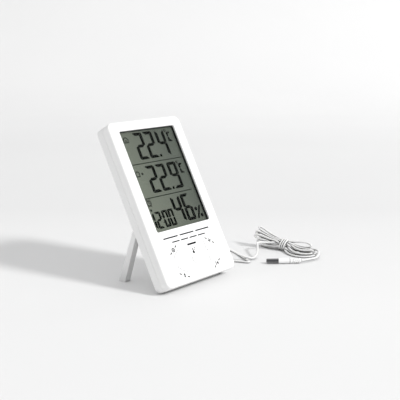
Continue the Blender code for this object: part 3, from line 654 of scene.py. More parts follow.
def quadrant(side_x, side_z):
    """A button outline: two straight inner sides and an outer side on an ellipse."""
    near_x, near_z = BUTTON_X + BUTTON_R, BUTTON_Z + BUTTON_R
    width, height = BUTTON_RING_HALF_WIDTH - BUTTON_R, BUTTON_RING_HALF_HEIGHT - BUTTON_R
    far_x = width * sqrt(1 - (near_z / height) ** 2)
    far_z = height * sqrt(1 - (near_x / width) ** 2)
    start = atan2(near_z / height, far_x / width)
    stop = atan2(far_z / height, near_x / width)
    core = [(near_x, near_z), (far_x, near_z)]
    for k in range(1, BUTTON_ARC_STEPS):
        angle = start + (stop - start) * k / BUTTON_ARC_STEPS
        core.append((width * cos(angle), height * sin(angle)))
    core.append((near_x, far_z))
    points = []
    for corner, arriving, leaving in corners(core):
        first = atan2(-arriving.x, arriving.y)
        turn = (atan2(-leaving.x, leaving.y) - first) % (2 * pi)
        # True corners get an arc, the points along the ellipse a single point.
        for share in [k / 8 for k in range(9)] if turn > 0.5 else [0.5]:
            angle = first + turn * share
            x, z = corner.x + BUTTON_R * cos(angle), corner.y + BUTTON_R * sin(angle)
            points.append((side_x * x, BUTTON_RING_Z + side_z * z))
    return points if side_x * side_z > 0 else points[::-1]


BUTTONS = {
    "mode": quadrant(-1, 1),
    "adjust": quadrant(1, 1),
    "memory": quadrant(-1, -1),
    "reset": quadrant(1, -1),
    "unit": rounded(0, 17.5, 6.0, 3.3, 3.25, 12),
}
BUTTON_PLAY = 0.12

# --- Front shell: a tray open at the back, with screw posts inside
levels = [(SPLIT_D + SEAM + away, housing_outline(inset)) for away, inset in SEAM_LIP]
levels += round_over(DEPTH, FRONT_R, housing_outline, 9)
front = raw("shell_front", stack(levels))
cut(front, slab(housing_outline(FRONT_WALL), 7.0, ROOF_D))
fuse(
    front,
    *posts(CORNER_SCREWS, 2.8, SPLIT_D + 0.6, ROOF_D + 0.6),
    *posts(BOARD_SCREWS, 2.4, 8.25, ROOF_D + 0.6),
)
window = span(-WINDOW_HALF, WINDOW_HALF, WINDOW_LOW, WINDOW_HIGH, WINDOW_R)
cut(
    front,
    front_hole(window, radius=0.35, reach=0.6, steps=4),
    *[
        front_hole(grown(outline, BUTTON_PLAY), radius=0.08, reach=1.0, steps=3)
        for outline in BUTTONS.values()
    ],
    *posts(CORNER_SCREWS, 1.2, 8.0, 14.2),
    *posts(BOARD_SCREWS, 1.0, 8.0, 13.6),
)
dress(front, "white_abs", "white_shell", stands_for=("front_shell",))

# --- Rear cover: a shallow tray with a rim that enters the front shell
RIM_INSET, RIM_D, FLOOR_D = 2.2, 10.0, 2.0
levels = round_over(0.0, REAR_R, housing_outline, 5, -1)[::-1]
levels += [(SPLIT_D - away, housing_outline(inset)) for away, inset in SEAM_LIP[::-1]]
levels += [(SPLIT_D, housing_outline(RIM_INSET)), (RIM_D, housing_outline(RIM_INSET))]
rear = raw("shell_rear", stack(levels))
cut(rear, slab(housing_outline(3.4), FLOOR_D, 11.0))

# The battery bulge below and the flat panel above it, both raised from the back.
BULGE_D, PANEL_D = -8.0, -1.2
bulge = shrinking(-29.5, 29.5, 6.5, 47.0, 4)
fuse(rear, stack(round_over(BULGE_D, 1.5, bulge, 6, -1)[::-1] + [(1.0, bulge(0))]))
panel = shrinking(-36, 36, 68.0, 146.0, 4)
fuse(rear, stack(round_over(PANEL_D, 0.5, panel, 3, -1)[::-1] + [(1.0, panel(0))]))
bay = span(-27.2, 27.2, 11.8, 27.2, 1, 3)
fuse(rear, slab(bay, 1.0, 6.4), *posts(CORNER_SCREWS, 3.0, 1.0, 8.3))

# The foot in (d, z): its sole, the first side, lies level on the table.
FOOT = [
    (-LEAN_COS, LEAN_SIN), (LEAN_COS, -LEAN_SIN), (2.4, 0.6), (2.4, 2.6), (0.6, 4.2),
    (-LEAN_COS, 2.4),
]
# The hinge lug in (d, z), turned round so that it runs anticlockwise.
LUG = [
    (0.8, HINGE_Z - 6.0), *arc(HINGE_D, HINGE_Z, 3.6, -75, -210, 24), (0.8, HINGE_Z + 6.0)
][::-1]


def lug_plate(left, right, edge=0.35):
    """A hinge lug whose outline edges are broken."""
    steps = (
        (left, edge), (left + edge * 0.3, edge * 0.3), (left + edge, 0),
        (right - edge, 0), (right - edge * 0.3, edge * 0.3), (right, edge),
    )
    return loft([[at(x, d, z) for d, z in grown(LUG, -inset)] for x, inset in steps])


fuse(rear, across(FOOT, -36, 36), lug_plate(24.0, 29.0), lug_plate(-29.0, -24.0))
# Inside of the battery bay, door opening and grooves for the door's tongue:
# left, right, back, front, low, high.
for bounds in (
    (-25.6, 25.6, -9.0, 5.2, 13.4, 25.6),
    (-26.9, 26.9, -9.0, -6.3, 5.0, 29.3),
    (-28.2, 28.2, -7.6, -6.31, 5.0, 29.29),
):
    cut(rear, box(*bounds))
# Slots through the bay's sides, small holes in the bulge, clearance in the corner posts.
HOLE_ROW = [(-4.0, 38.0), (0.0, 38.0), (4.0, 38.0)]
cut(
    rear,
    box(24.6, 25.3, 4.0, 7.5, 18.2, 20.8),
    box(-25.3, -24.6, 4.0, 7.5, 18.2, 20.8),
    *posts(HOLE_ROW, 0.8, -9.0, -5.0, 16),
    *posts(CORNER_SCREWS, 3.25, 8.35, 11.0),
)
split_across(rear, (-40.15, -4.0, 0.0, 4.0, 40.15))

hollow = span(-27.5, 27.5, 30.8, 45.0, 2.5, 6)
keyhole = arc(0, 127.0, 4.2, 118, 304, 32) + arc(0, 135.0, 1.97, 0, 180, 16)
# The hinge bore in (d, z), open towards the back.
bore = arc(HINGE_D, HINGE_Z, 2.2, -131, 262, 32)
bore += [(-13.0, HINGE_Z + 1.66), (-13.0, HINGE_Z - 1.66)]
vents = [span(-15, 15, z - 0.9, z + 0.9, 0.88) for z in (76.0, 80.5, 85.0, 89.5, 94.0)]
# Radius and depth of a screw recess and its bore.
SCREW_RECESS = [
    (0, -3.0), (2.45, -3.0), (2.45, 0), (2.2, 0.25), (2.2, 4.0), (1.2, 4.0), (1.2, 9.5), (0, 9.5),
]
cut(
    rear,
    slab(hollow, -6.0, 3.0),
    slab(keyhole, -3.0, 3.0),
    *[
        stack([(-3.0, grown(v, 0.5)), (PANEL_D, grown(v, 0.25)), (-0.95, v), (3.0, v)])
        for v in vents
    ],
    *posts([(CABLE_X, CABLE_Z)], 1.85, -2.0, 3.5),
    *[turned(SCREW_RECESS, at_mm(x, 0, z), FORWARD) for x, z in CORNER_SCREWS],
    across(bore, 23.0, 30.0),
    across(bore, -30.0, -23.0),
)
dress(rear, "white_abs_rear", "white_shell", stands_for=("rear_cover",))

# --- Window lens and the gasket round it
lens = span(-35.1, 35.1, 48.1, 143.8, 1.9)
lens_rim = grown(lens, -0.1)
piece(
    "lens_clear",
    stack([(14.0, lens_rim), (14.1, lens), (14.95, lens), (15.05, lens_rim)]),
    "window_acrylic",
    "clear_window",
    stands_for=("window_lens",),
)
SEAT_D = 13.85
gasket = raw("gasket_black", slab(span(-36.6, 36.6, 46.6, 145.3, 3), 13.2, 15.15))
seat = span(-35.4, 35.4, 47.8, 144.1, 2.2)
levels = [(12.0, window), (13.7, window), (SEAT_D, grown(window, 0.15))]
cut(gasket, stack(levels + [(SEAT_D, seat), (16.0, seat)]))
dress(gasket, "black_gasket", "black_frame", stands_for=("lens_frame",))

# --- Flat marks: thin plates on the display and on the case
LCD_D, LCD_THICK = 13.07, 0.03
PRINT_D, PRINT_THICK = DEPTH + 0.004, 0.02
MARK_SHIFT = (-1.05, -0.33)


def placed(outline):
    return [(x + MARK_SHIFT[0], z + MARK_SHIFT[1]) for x, z in outline]


def flat_shapes(outlines, d=LCD_D, thickness=LCD_THICK):
    return joined(*[slab(placed(outline), d, d + thickness) for outline in outlines])


def ring_shape(x, z, outer, inner, steps=24, d=LCD_D, thickness=LCD_THICK):
    front_d = d + thickness
    section = ((d, outer), (front_d, outer), (front_d, inner), (d, inner))
    return stack([(depth, placed(circle(x, z, r, steps))) for depth, r in section], ring=True)


def bar(x0, z0, x1, z1, width):
    """A straight stroke."""
    start, end = Vector((x0, z0)), Vector((x1, z1))
    along = (end - start).normalized()
    side = Vector((-along.y, along.x)) * (width / 2)
    points = (start - side, end - side, end + side, start + side)
    return anticlockwise([tuple(point) for point in points])


def disc(x, z, radius):
    return circle(x, z, radius, 20)


def strokes(rows):
    """Bars from rows of five numbers, discs from rows of three."""
    return [bar(*row) if len(row) == 5 else disc(*row) for row in rows]


# Segments a to g run clockwise from the top; g is the middle one.
LIT = {
    "0": "abcdef", "1": "bc", "2": "abged", "4": "fgbc", "6": "afgedc", "9": "abcdfg",
    "C": "afed",
}


def digit(which, left, right, low, high, upright, level, gap=0.2, corner=None):
    """A seven-segment digit; upright and level are the thicknesses of its strokes."""
    corner = corner or level * 0.5
    nick = corner * 0.42
    middle = (low + high) / 2
    gap = gap / 2
    half = level / 2
    shapes = {}
    # Each end of the digit: height, direction to its middle, names of its three segments.
    for end, inward, (flat, on_right, on_left) in ((high, -1, "abf"), (low, 1, "dce")):
        shapes[flat] = [
            (left + corner + gap, end),
            (right - corner - gap, end),
            (right - nick - gap, end + inward * nick),
            (right - upright - gap, end + inward * level),
            (left + upright + gap, end + inward * level),
            (left + nick + gap, end + inward * nick),
        ]
        for name, x, side in ((on_right, right, -1), (on_left, left, 1)):
            shapes[name] = [
                (x, end + inward * (corner + gap)),
                (x + side * nick, end + inward * (nick + gap)),
                (x + side * upright, end + inward * (level + gap)),
                (x + side * upright, middle - inward * (half + gap)),
                (x + side * upright / 2, middle - inward * gap),
                (x, middle - inward * (half * 0.5 + gap)),
            ]
    shapes["g"] = [
        (left + upright / 2 + gap, middle),
        (left + upright + gap, middle + half),
        (right - upright - gap, middle + half),
        (right - upright / 2 - gap, middle),
        (right - upright - gap, middle - half),
        (left + upright + gap, middle - half),
    ]
    return [anticlockwise(shapes[name]) for name in LIT[which]]


# --- Display: indoor temperature on top, outdoor below it, clock and humidity at the bottom
BIG = (3.45, 2.8)
CLOCK = (52.3, 67.8)
HUMIDITY = (52.9, 78.2)
black = []
for low, high, last in ((116.0, 141.6, "4"), (84.3, 109.8, "9")):
    for which, left, right in (("2", -16.7, -4.9), ("2", -4.1, 7.7), (last, 11.2, 22.9)):
        black += digit(which, left, right, low, high, *BIG)
    black.append(rounded(9.4, low + 1.35, 1.35, 1.25, 0.5, 4))
black += digit("4", -0.5, 11.1, *HUMIDITY, *BIG)
black += digit("6", 12.5, 23.5, *HUMIDITY, *BIG)
black += digit("1", -31.4, -26.2, *CLOCK, 2.4, 2.0)
black += digit("2", -25.6, -18.4, *CLOCK, 2.4, 2.0)
for left, right in ((-16.8, -9.8), (-9.2, -2.5)):
    black += digit("0", left, right, *CLOCK, 2.5, 2.1, corner=0.5)
black += [disc(-17.5, z, 0.6) for z in (57.2, 62.6)]

symbols = []
for low in (129.2, 97.6):
    symbols += digit("C", 25.7, 31.4, low, low + 9.6, 2.35, 1.9, gap=0.15, corner=0.5)
# The percent sign: a slanted bar and two dots.
symbols.append([(25.0, 53.0), (27.5, 53.0), (33.7, 64.6), (31.2, 64.6)])
symbols += [disc(26.8, 62.2, 1.8), disc(31.8, 55.3, 1.8)]

# Rows for strokes(): x, z, x, z, width of a bar or x, z, radius of a disc.
FAINT = (
    # Indoors: a small house with a dot inside it.
    (-28.4, 133.2, -28.4, 136.0, 1.0), (-23.4, 133.2, -23.4, 136.0, 1.0),
    (-27.8, 133.6, -24.0, 133.6, 0.9), (-29.2, 136.1, -26.1, 138.7, 1.0),
    (-25.7, 138.7, -22.6, 136.1, 1.0), (-25.9, 135.3, 0.85),
    # Outdoors: a small house with a dot beside it.
    (-29.0, 101.1, -29.0, 103.9, 1.0), (-25.0, 101.1, -25.0, 103.9, 1.0),
    (-28.4, 101.5, -25.6, 101.5, 0.9), (-29.7, 104.0, -27.2, 106.5, 1.0),
    (-26.8, 106.5, -24.3, 104.0, 1.0), (-21.4, 103.4, 1.2),
    # A small alarm mark over the clock, and a dot for the morning.
    (-26.6, 76.2, -26.6, 78.6, 0.8), (-26.6, 76.5, -25.2, 75.7, 0.8),
    (-29.0, 79.3, -27.8, 80.3, 0.9), (-25.4, 80.3, -24.2, 79.3, 0.9),
    (-28.7, 72.8, -27.9, 73.9, 0.8), (-24.5, 72.8, -25.3, 73.9, 0.8),
    (-27.2, 69.9, 1.15),
)
RULES = ((-33.9, 112.6, 33.9, 112.6, 0.8), (-33.9, 80.8, 31.5, 80.8, 0.8))
# Two degree signs and the rim of the alarm mark.
rings = joined(
    ring_shape(25.0, 140.2, 1.4, 0.5),
    ring_shape(25.0, 108.6, 1.4, 0.5),
    ring_shape(-26.6, 76.4, 2.9, 1.9, 28),
)
for name, body, material in (
    ("lcd_digits", flat_shapes(black), "lcd_segment"),
    ("lcd_symbols", flat_shapes(symbols), "lcd_segment"),
    ("lcd_marks", flat_shapes(strokes(FAINT)), "lcd_faint_mark"),
    ("lcd_rings", rings, "lcd_faint_mark"),
    ("lcd_rules", flat_shapes(strokes(RULES)), "lcd_rule"),
):
    piece(name, body, material, "display_glass", smooth=0)


# --- Printed marks on the case: dashes, a short bar and a sign for each button
def dashes(x, z, width, count, gap, thickness):
    """A row of equal dashes round a centre."""
    length = (width - gap * (count - 1)) / count
    left = x - width / 2
    starts = [left + k * (length + gap) for k in range(count)]
    return [bar(start, z, start + length, z, thickness) for start in starts]


def triangle(x, z, radius, up):
    """A triangle that points up (1) or down (-1)."""
    base, point = z - up * radius * 0.8, z + up * radius * 0.8
    return anticlockwise([(x - radius, base), (x + radius, base), (x, point)])


def offset_bar(centre, x0, z0, x1, z1, width):
    return bar(centre.x + x0, centre.y + z0, centre.x + x1, centre.y + z1, width)


printed = dashes(-0.2, 42.3, width=59.0, count=3, gap=2.6, thickness=1.15)
printed += dashes(0.4, 37.8, width=43.0, count=4, gap=1.8, thickness=1.05)
printed.append(bar(-4.6, 32.2, 6.6, 32.2, 1.6))
# Temperature unit: a small thermometer with two graduation marks.
printed += strokes(
    (
        (-0.2, 25.2, -0.2, 28.2, 1.0), (-0.2, 24.5, 1.25),
        (1.5, 27.7, 3.2, 27.7, 0.7), (1.5, 26.2, 2.6, 26.2, 0.7),
    )
)

# The signs stand on an ellipse round the buttons: half width, half height, angles in degrees.
SIGN_HALF_WIDTH, SIGN_HALF_HEIGHT = 30.6, 17.0
SIGN_ANGLES = {"mode": 139, "adjust": 38, "memory": 227, "reset": 319}
signs = {}
for name, degrees in SIGN_ANGLES.items():
    t = radians(degrees)
    along = Vector((-SIGN_HALF_WIDTH * sin(t), SIGN_HALF_HEIGHT * cos(t))).normalized()
    centre = Vector((SIGN_HALF_WIDTH * cos(t), BUTTON_RING_Z + SIGN_HALF_HEIGHT * sin(t)))
    signs[name] = centre
    # A short dash on each side ties the sign to the ring of buttons.
    for side in (-1, 1):
        printed.append(
            bar(*(centre + along * (3.3 * side)), *(centre + along * (5.9 * side)), 0.95)
        )
mode, adjust, memory, reset = signs.values()
printed.append(disc(mode.x, mode.y, 0.7))
printed += [
    offset_bar(adjust, 0, -1.8, 0, 1.8, 0.9),
    offset_bar(adjust, -1.8, 0, -0.5, 0, 0.9),
    offset_bar(adjust, 0.5, 0, 1.8, 0, 0.9),
]
printed += [triangle(memory.x, memory.y + 1.2 * up, 1.25, up) for up in (1, -1)]
printed.append(offset_bar(reset, -1.6, -1.7, -1.6, 1.7, 0.85))
arrow = ((-0.8, 0), (1.7, -1.7), (1.7, 1.7))
printed.append([(reset.x + x, reset.y + z) for x, z in arrow])
piece(
    "case_marks",
    joined(
        flat_shapes(printed, PRINT_D, PRINT_THICK),
        ring_shape(mode.x, mode.y, 2.0, 1.2, 24, PRINT_D, PRINT_THICK),
    ),
    "case_print",
    "black_frame",
    smooth=0,
)

# --- Buttons: a flange behind the front face and a slightly crowned cap
FLANGE_GROW, FLANGE_LOW, FLANGE_HIGH = 0.9, 13.8, 14.95
CAP_D = DEPTH + 0.9
CAP_R = 0.5
for name, outline in BUTTONS.items():
    flange = grown(outline, FLANGE_GROW)
    levels = [(FLANGE_LOW, flange), (FLANGE_HIGH, flange), (FLANGE_HIGH, outline)]
    levels += round_over(CAP_D, CAP_R, lambda inset: grown(outline, -inset), 5)
    levels.append((CAP_D + 0.02, grown(outline, -1.05)))
    piece(
        f"cap_{name}",
        stack(levels),
        "white_button",
        "white_shell",
        stands_for=(f"button_{name}",),
        rides=f"{name}_button",
    )

# --- Battery door: a panel flush with the bulge, its tongue and four grip grooves
door_outline = span(-26.6, 26.6, 6.6, 29.0, 1.0, 6)
levels = round_over(BULGE_D, 0.4, lambda inset: grown(door_outline, -inset), 4, -1)
door = raw("door_panel", stack([(-6.7, door_outline)] + levels))
fuse(door, slab(span(-27.9, 27.9, 8.0, 28.8, 0.5, 3), -7.35, -6.6))
# A groove's section: depth, how much its outline is grown.
GROOVE = ((-9.0, 0.25), (BULGE_D, 0.18), (-7.8, 0.0), (-7.5, -0.15))
grooves = []
for k in range(4):
    outline = span(-7 + k, 7 - k, 9.5 + 2.0 * k, 10.5 + 2.0 * k, 0.49, 6)
    grooves.append(stack([(d, grown(outline, wider)) for d, wider in GROOVE]))
cut(door, *grooves)
dress(
    door, "white_abs_rear", "white_shell", stands_for=("battery_door",), rides="battery_door"
)

# --- Stand: two arms joined by a pin through the hinge
OPEN = radians(47.0) - LEAN
OPEN_COS, OPEN_SIN = cos(OPEN), sin(OPEN)
HINGE = Vector((0, hinge_at.y, hinge_at.z))
ARM_INNER, ARM_OUTER, ARM_EDGE = 31.5, 38.0, 0.6
ARM_HALF_THICK, KNUCKLE_R = 2.75, 3.0


def in_stand(x, y, z):
    """A point of the stand: z up along the arm, y towards the back."""
    turned_y, turned_z = y * OPEN_COS - z * OPEN_SIN, y * OPEN_SIN + z * OPEN_COS
    return (HINGE + Vector((x, turned_y, turned_z))) * MM


def sole_z(y):
    """Where a line along the arm meets the table."""
    return -(HINGE.z + y * OPEN_SIN) / OPEN_COS


def arm_loop(inset):
    """The arm's (y, z) section: a round knuckle above, a level sole below."""
    half, radius = ARM_HALF_THICK - inset, KNUCKLE_R - inset
    dip = asin(sqrt(radius * radius - half * half) / radius)
    angles = [-dip + (pi + 2 * dip) * k / 16 for k in range(17)]
    points = [(radius * cos(a), radius * sin(a)) for a in angles]
    # The foot's two corners are broken by a short chamfer that keeps the sole level.
    back = half + 2.2
    for y, lift in ((-half, 0.5), (-half + 0.35, 0), (back - 0.35, 0), (back - 0.1, 0.5)):
        points.append((y, sole_z(y) + lift))
    return points


def arm(side):
    inner = round_over(ARM_INNER, ARM_EDGE, arm_loop, 4, -1)[::-1]
    outer = [(ARM_OUTER - (x - ARM_INNER), loop) for x, loop in inner[::-1]]
    return loft([[in_stand(side * x, y, z) for y, z in loop] for x, loop in inner + outer])


stand = raw("stand_frame", arm(1))
fuse(stand, arm(-1))
fuse(stand, turned([(2.0, -32.5), (2.0, 32.5)], HINGE, (1, 0, 0), 32))
dress(stand, "white_stand", "white_shell", stands_for=("stand",), rides="stand")

# --- Cross-headed screws at the back: radius, depth
SCREW = [
    (0, 2.48), (0.7, 2.5), (1.3, 2.62), (1.75, 2.85), (1.9, 3.1), (1.9, 3.8), (0.95, 3.8),
    (0.95, 12.2), (0, 13.2),
]
for i, (x, z) in enumerate(CORNER_SCREWS, 1):
    screw = raw(f"screw_back_{i}", turned(SCREW, at_mm(x, 0, z), FORWARD))
    cut(screw, box(x - 1.1, x + 1.1, 2.0, 3.35, z - 0.2, z + 0.2))
    cut(screw, box(x - 0.2, x + 0.2, 2.0, 3.351, z - 1.1, z + 1.1))
    dress(screw, "zinc_screw", "zinc_steel", stands_for=(f"case_screw_{i}",))

# --- Cable boot: radius, distance behind the back plane; three ribs that get smaller
boot = [
    (1.4, -2.8), (1.7, -2.8), (1.7, 0.25), (2.3, 0.25), (2.5, 0.45), (2.5, 1.3), (2.3, 1.5),
    (2.1, 1.75),
]
for k in range(3):
    height, rib = 2.1 + 1.15 * k, 2.0 - 0.06 * k
    boot += [(1.78, height), (1.78, height + 0.35), (rib, height + 0.5), (rib, height + 0.95)]
boot += [(1.6, 5.6), (1.4, 5.6)]
piece(
    "boot_strain_relief",
    turned(boot, at_mm(CABLE_X, 0, CABLE_Z), BACKWARD, ring=True),
    "cable_vinyl",
    "cable_white",
    stands_for=("cable_boot",),
)

# --- Cable: one strand from the board through the hank to the probe, CAD-frame millimetres
CABLE_R, CABLE_STEP = 1.0, 1.1
# How many points of the path stay put at each end while strands are pushed apart.
FIXED_HEAD, FIXED_TAIL = 150, 45

# The loose end: out of the boot, down to the table, round a small bend and to the hank.
LEAD = [at_mm(32.5, 5.2, 27.0), at_mm(36.0, 4.9, 25.2), at_mm(39.0, 4.2, 22.9)]
LEAD += [at_mm(CABLE_X, d, CABLE_Z) for d in (1.8, -2.0, -5.0, -8.0)]
LEAD += [
    (42.0, 26.0, 10.0), (50.0, 34.5, 4.2), (65.0, 43.5, 1.15), (86.0, 48.5, 1.02),
    (100.5, 44.5, 1.02), (101.5, 34.0, 1.02), (95.1, 21.0, 1.02), (88.6, 10.0, 1.02),
    (84.9, 3.4, 1.02), (83.2, -0.2, 1.02), (80.6, -0.6, 1.02), (78.8, 2.6, 1.02),
    (76.4, 9.4, 1.02), (71.5, 18.4, 1.02), (65.0, 26.6, 1.02), (59.2, 32.4, 1.02),
    (58.4, 36.4, 1.02), (62.0, 38.2, 2.4), (68.0, 34.4, 6.4), (73.6, 28.6, 10.2),
    (77.6, 22.2, 11.2), (79.4, 18.4, 9.9), (81.6, 15.0, 7.6), (83.8, 11.6, 5.3),
    (86.4, 7.0, 3.5), (89.8, 2.6, 2.0), (93.0, 1.6, 1.25), (97.2, 3.2, 1.7),
    (102.7, 4.6, 4.2), (108.5, 8.9, 6.6), (116.7, 15.2, 8.1), (124.0, 21.6, 8.3),
    # Low on the left, towards the tie.
    (131.5, 17.0, 7.4), (138.0, 9.0, 7.0),
]
# The turns of the hank, left and right by turns, each running from the tie round to the tie.
LEFT_TURNS = [
    [
        (144.2, 8.3, 10.1), (143.8, 13.1, 12.3), (143.5, 20.6, 14.9), (143.3, 27.6, 18.3),
        (143.1, 31.0, 20.2), (142.2, 33.6, 20.7), (140.7, 33.9, 18.8), (140.3, 29.2, 16.9),
        (140.9, 22.5, 13.8), (141.8, 15.4, 11.2), (142.7, 8.4, 9.2),
    ],
    [
        (141.0, 8.5, 9.4), (139.6, 16.4, 11.3), (138.3, 24.5, 14.4), (137.6, 31.2, 16.7),
        (136.5, 33.8, 16.7), (135.5, 33.7, 14.3), (136.0, 28.5, 11.8), (137.3, 21.1, 9.7),
        (139.1, 13.4, 7.9), (140.7, 6.9, 6.8),
    ],
    [
        (139.2, 7.2, 8.7), (137.1, 14.5, 10.0), (134.6, 22.9, 13.1), (132.5, 29.8, 14.4),
        (131.3, 32.3, 13.0), (131.4, 31.4, 10.5), (133.3, 25.7, 9.0), (135.4, 18.3, 8.2),
        (137.7, 11.1, 6.4), (139.6, 4.9, 5.4),
    ],
    [
        (143.2, 8.7, 6.6), (142.5, 18.4, 6.9), (142.0, 27.0, 8.1), (141.4, 32.3, 8.0),
        (140.7, 33.9, 5.9), (140.6, 31.2, 4.2), (141.1, 25.0, 3.7), (141.8, 16.5, 3.1),
        (142.9, 7.2, 3.9),
    ],
    [
        (145.2, 8.8, 4.4), (144.9, 18.8, 4.0), (144.5, 26.3, 3.6), (144.2, 30.6, 2.5),
        (142.0, 30.3, 1.1), (138.2, 23.8, 1.1), (137.3, 17.4, 1.2), (137.0, 11.1, 1.8),
        (138.4, 5.5, 2.6),
    ],
    [
        (139.6, 8.0, 6.4), (137.0, 14.5, 7.0), (134.6, 21.5, 8.2), (133.0, 27.6, 8.6),
        (132.6, 30.2, 7.0), (133.4, 28.6, 5.2), (134.6, 22.6, 4.2), (135.4, 15.4, 3.2),
        (137.6, 8.2, 3.2),
    ],
    [
        (142.5, 8.4, 8.4), (141.2, 15.8, 10.4), (139.8, 23.6, 13.2), (138.6, 30.4, 15.6),
        (137.6, 32.8, 14.4), (138.0, 30.2, 12.0), (139.2, 23.0, 9.6), (140.6, 15.2, 7.4),
        (142.2, 7.8, 6.2),
    ],
]
RIGHT_TURNS = [
    [
        (146.4, -2.8, 7.9), (149.0, -8.2, 8.9), (151.6, -15.4, 9.6), (153.2, -22.0, 9.2),
        (153.6, -27.4, 7.4), (152.6, -27.4, 5.5), (150.8, -22.4, 4.9), (148.7, -14.7, 5.5),
        (146.8, -8.1, 6.4), (145.1, -3.3, 7.2),
    ],
    [
        (144.1, -5.6, 6.6), (146.2, -11.5, 5.0), (148.5, -18.5, 3.9), (150.2, -25.8, 4.0),
        (150.7, -32.1, 3.8), (149.7, -34.3, 1.9), (147.7, -28.8, 1.3), (145.6, -20.5, 1.7),
        (144.2, -11.8, 2.8), (143.0, -5.1, 4.8),
    ],
    [
        (142.3, -6.9, 4.9), (143.1, -13.8, 2.9), (144.0, -21.6, 2.4), (145.5, -30.1, 3.3),
        (146.5, -37.6, 3.3), (145.4, -38.4, 1.3), (139.6, -33.1, 1.1), (136.2, -25.5, 1.1),
        (137.6, -13.7, 1.4), (140.2, -4.8, 3.2),
    ],
    [
        (143.0, -4.0, 3.2), (139.6, -12.4, 1.4), (140.5, -21.4, 1.1), (146.5, -28.6, 1.1),
        (148.0, -35.2, 1.1), (141.6, -37.2, 1.1), (133.0, -33.4, 1.1), (128.4, -27.0, 1.1),
        (128.2, -18.4, 1.1), (132.4, -9.6, 1.5), (138.4, -3.6, 2.9),
    ],
    [
        (147.6, -2.0, 4.4), (149.7, -8.1, 2.3), (151.8, -15.6, 1.3), (154.4, -22.9, 1.4),
        (153.5, -28.9, 1.1), (149.0, -28.9, 1.1), (146.6, -23.8, 1.1), (145.9, -15.1, 1.3),
        (146.5, -5.4, 2.2),
    ],
    [
        (140.6, -5.6, 4.6), (136.4, -12.0, 3.4), (133.4, -19.6, 2.8), (134.4, -28.0, 2.6),
        (139.4, -34.4, 2.6), (143.6, -35.4, 2.0), (141.8, -29.4, 1.3), (137.0, -22.5, 1.1),
        (135.4, -13.5, 1.4), (138.8, -4.6, 3.0),
    ],
    [
        (144.5, -5.0, 6.0), (141.2, -11.2, 5.0), (139.8, -18.4, 4.2), (142.0, -26.0, 4.2),
        (146.2, -32.0, 4.2), (149.0, -33.6, 3.0), (148.2, -28.4, 2.2), (145.2, -21.0, 2.0),
        (143.6, -12.5, 2.6), (143.6, -4.6, 4.2),
    ],
]
# The last way out: round the right-hand end and back along the table to the probe.
TAIL = [
    (146.9, -3.7, 6.4), (149.0, -10.8, 3.8), (150.9, -18.8, 3.0), (151.6, -27.2, 4.1),
    (150.6, -34.2, 4.4), (147.0, -38.2, 3.8), (141.6, -41.2, 3.0), (136.6, -43.0, 2.4),
    (131.5, -43.6, 2.3), (125.0, -42.6, 2.6), (119.8, -41.2, 2.75), (116.0, -39.9, 2.75),
    (111.4, -35.7, 2.75),
]
# The hank's middle line, and where along it and how far below it the tie sits.
HANK_LEFT, HANK_RIGHT = Vector((137.5, 31.5, 15.5)), Vector((149.5, -35.5, 5.0))
HANK_AXIS = (HANK_RIGHT - HANK_LEFT).normalized()
HANK_SIDE = Vector((-HANK_AXIS.y, HANK_AXIS.x, 0)).normalized()
HANK_UP = -(HANK_SIDE.cross(HANK_AXIS))
TIE_ALONG, TIE_RISE = 32.4, -4.2
# Where the strands pass under the tie, packed round its middle: across, up.
PACKED = [
    (2.1, 0.9), (1.05, 2.7), (-1.05, 2.7), (0.0, 0.9), (-2.1, 0.9), (-3.15, -0.9),
    (-1.05, -0.9), (1.05, -0.9), (3.15, -0.9), (0.6, -2.7), (-1.5, -2.7),
    (-3.6, -2.7), (-5.2, -1.2), (-2.6, -4.4), (-0.5, -4.4),
]


def in_hank(along, side, rise):
    """A point along the hank from its left end, across it and up from its middle line."""
    return HANK_LEFT + along * HANK_AXIS + side * HANK_SIDE + rise * HANK_UP


def crossing(k, direction):
    """The k-th pass under the tie, rightwards (1) or leftwards (-1)."""
    side, rise = PACKED[k]
    steps = (-2.2 * direction, 0.0, 2.2 * direction)
    return [in_hank(TIE_ALONG + step, side, rise + TIE_RISE) for step in steps]


def smooth_path(points, steps):
    """A Catmull-Rom curve through the points."""
    points = [Vector(point) for point in points]
    points = [2 * points[0] - points[1], *points, 2 * points[-1] - points[-2]]
    path = []
    for p0, p1, p2, p3 in zip(points, points[1:], points[2:], points[3:]):
        for k in range(steps):
            t = k / steps
            path.append(
                0.5
                * (
                    2 * p1
                    + (p2 - p0) * t
                    + (2 * p0 - 5 * p1 + 4 * p2 - p3) * t * t
                    + (3 * p1 - 3 * p2 + p3 - p0) * t * t * t
                )
            )
    path.append(points[-2])
    return path


def resampled(path, step):
    """The path with points at even spacing."""
    spaced = [path[0]]
    carry = 0.0
    for start, end in zip(path, path[1:]):
        length = (end - start).length
        while carry + length >= step:
            start = start.lerp(end, (step - carry) / length)
            # What is left of this stretch, by the same share as the point has moved.
            spaced.append(start)
            length = (end - start).length
            carry = 0.0
        carry += length
    if (spaced[-1] - path[-1]).length > step * 0.3:
        spaced.append(path[-1])
    else:
        spaced[-1] = path[-1]
    return spaced


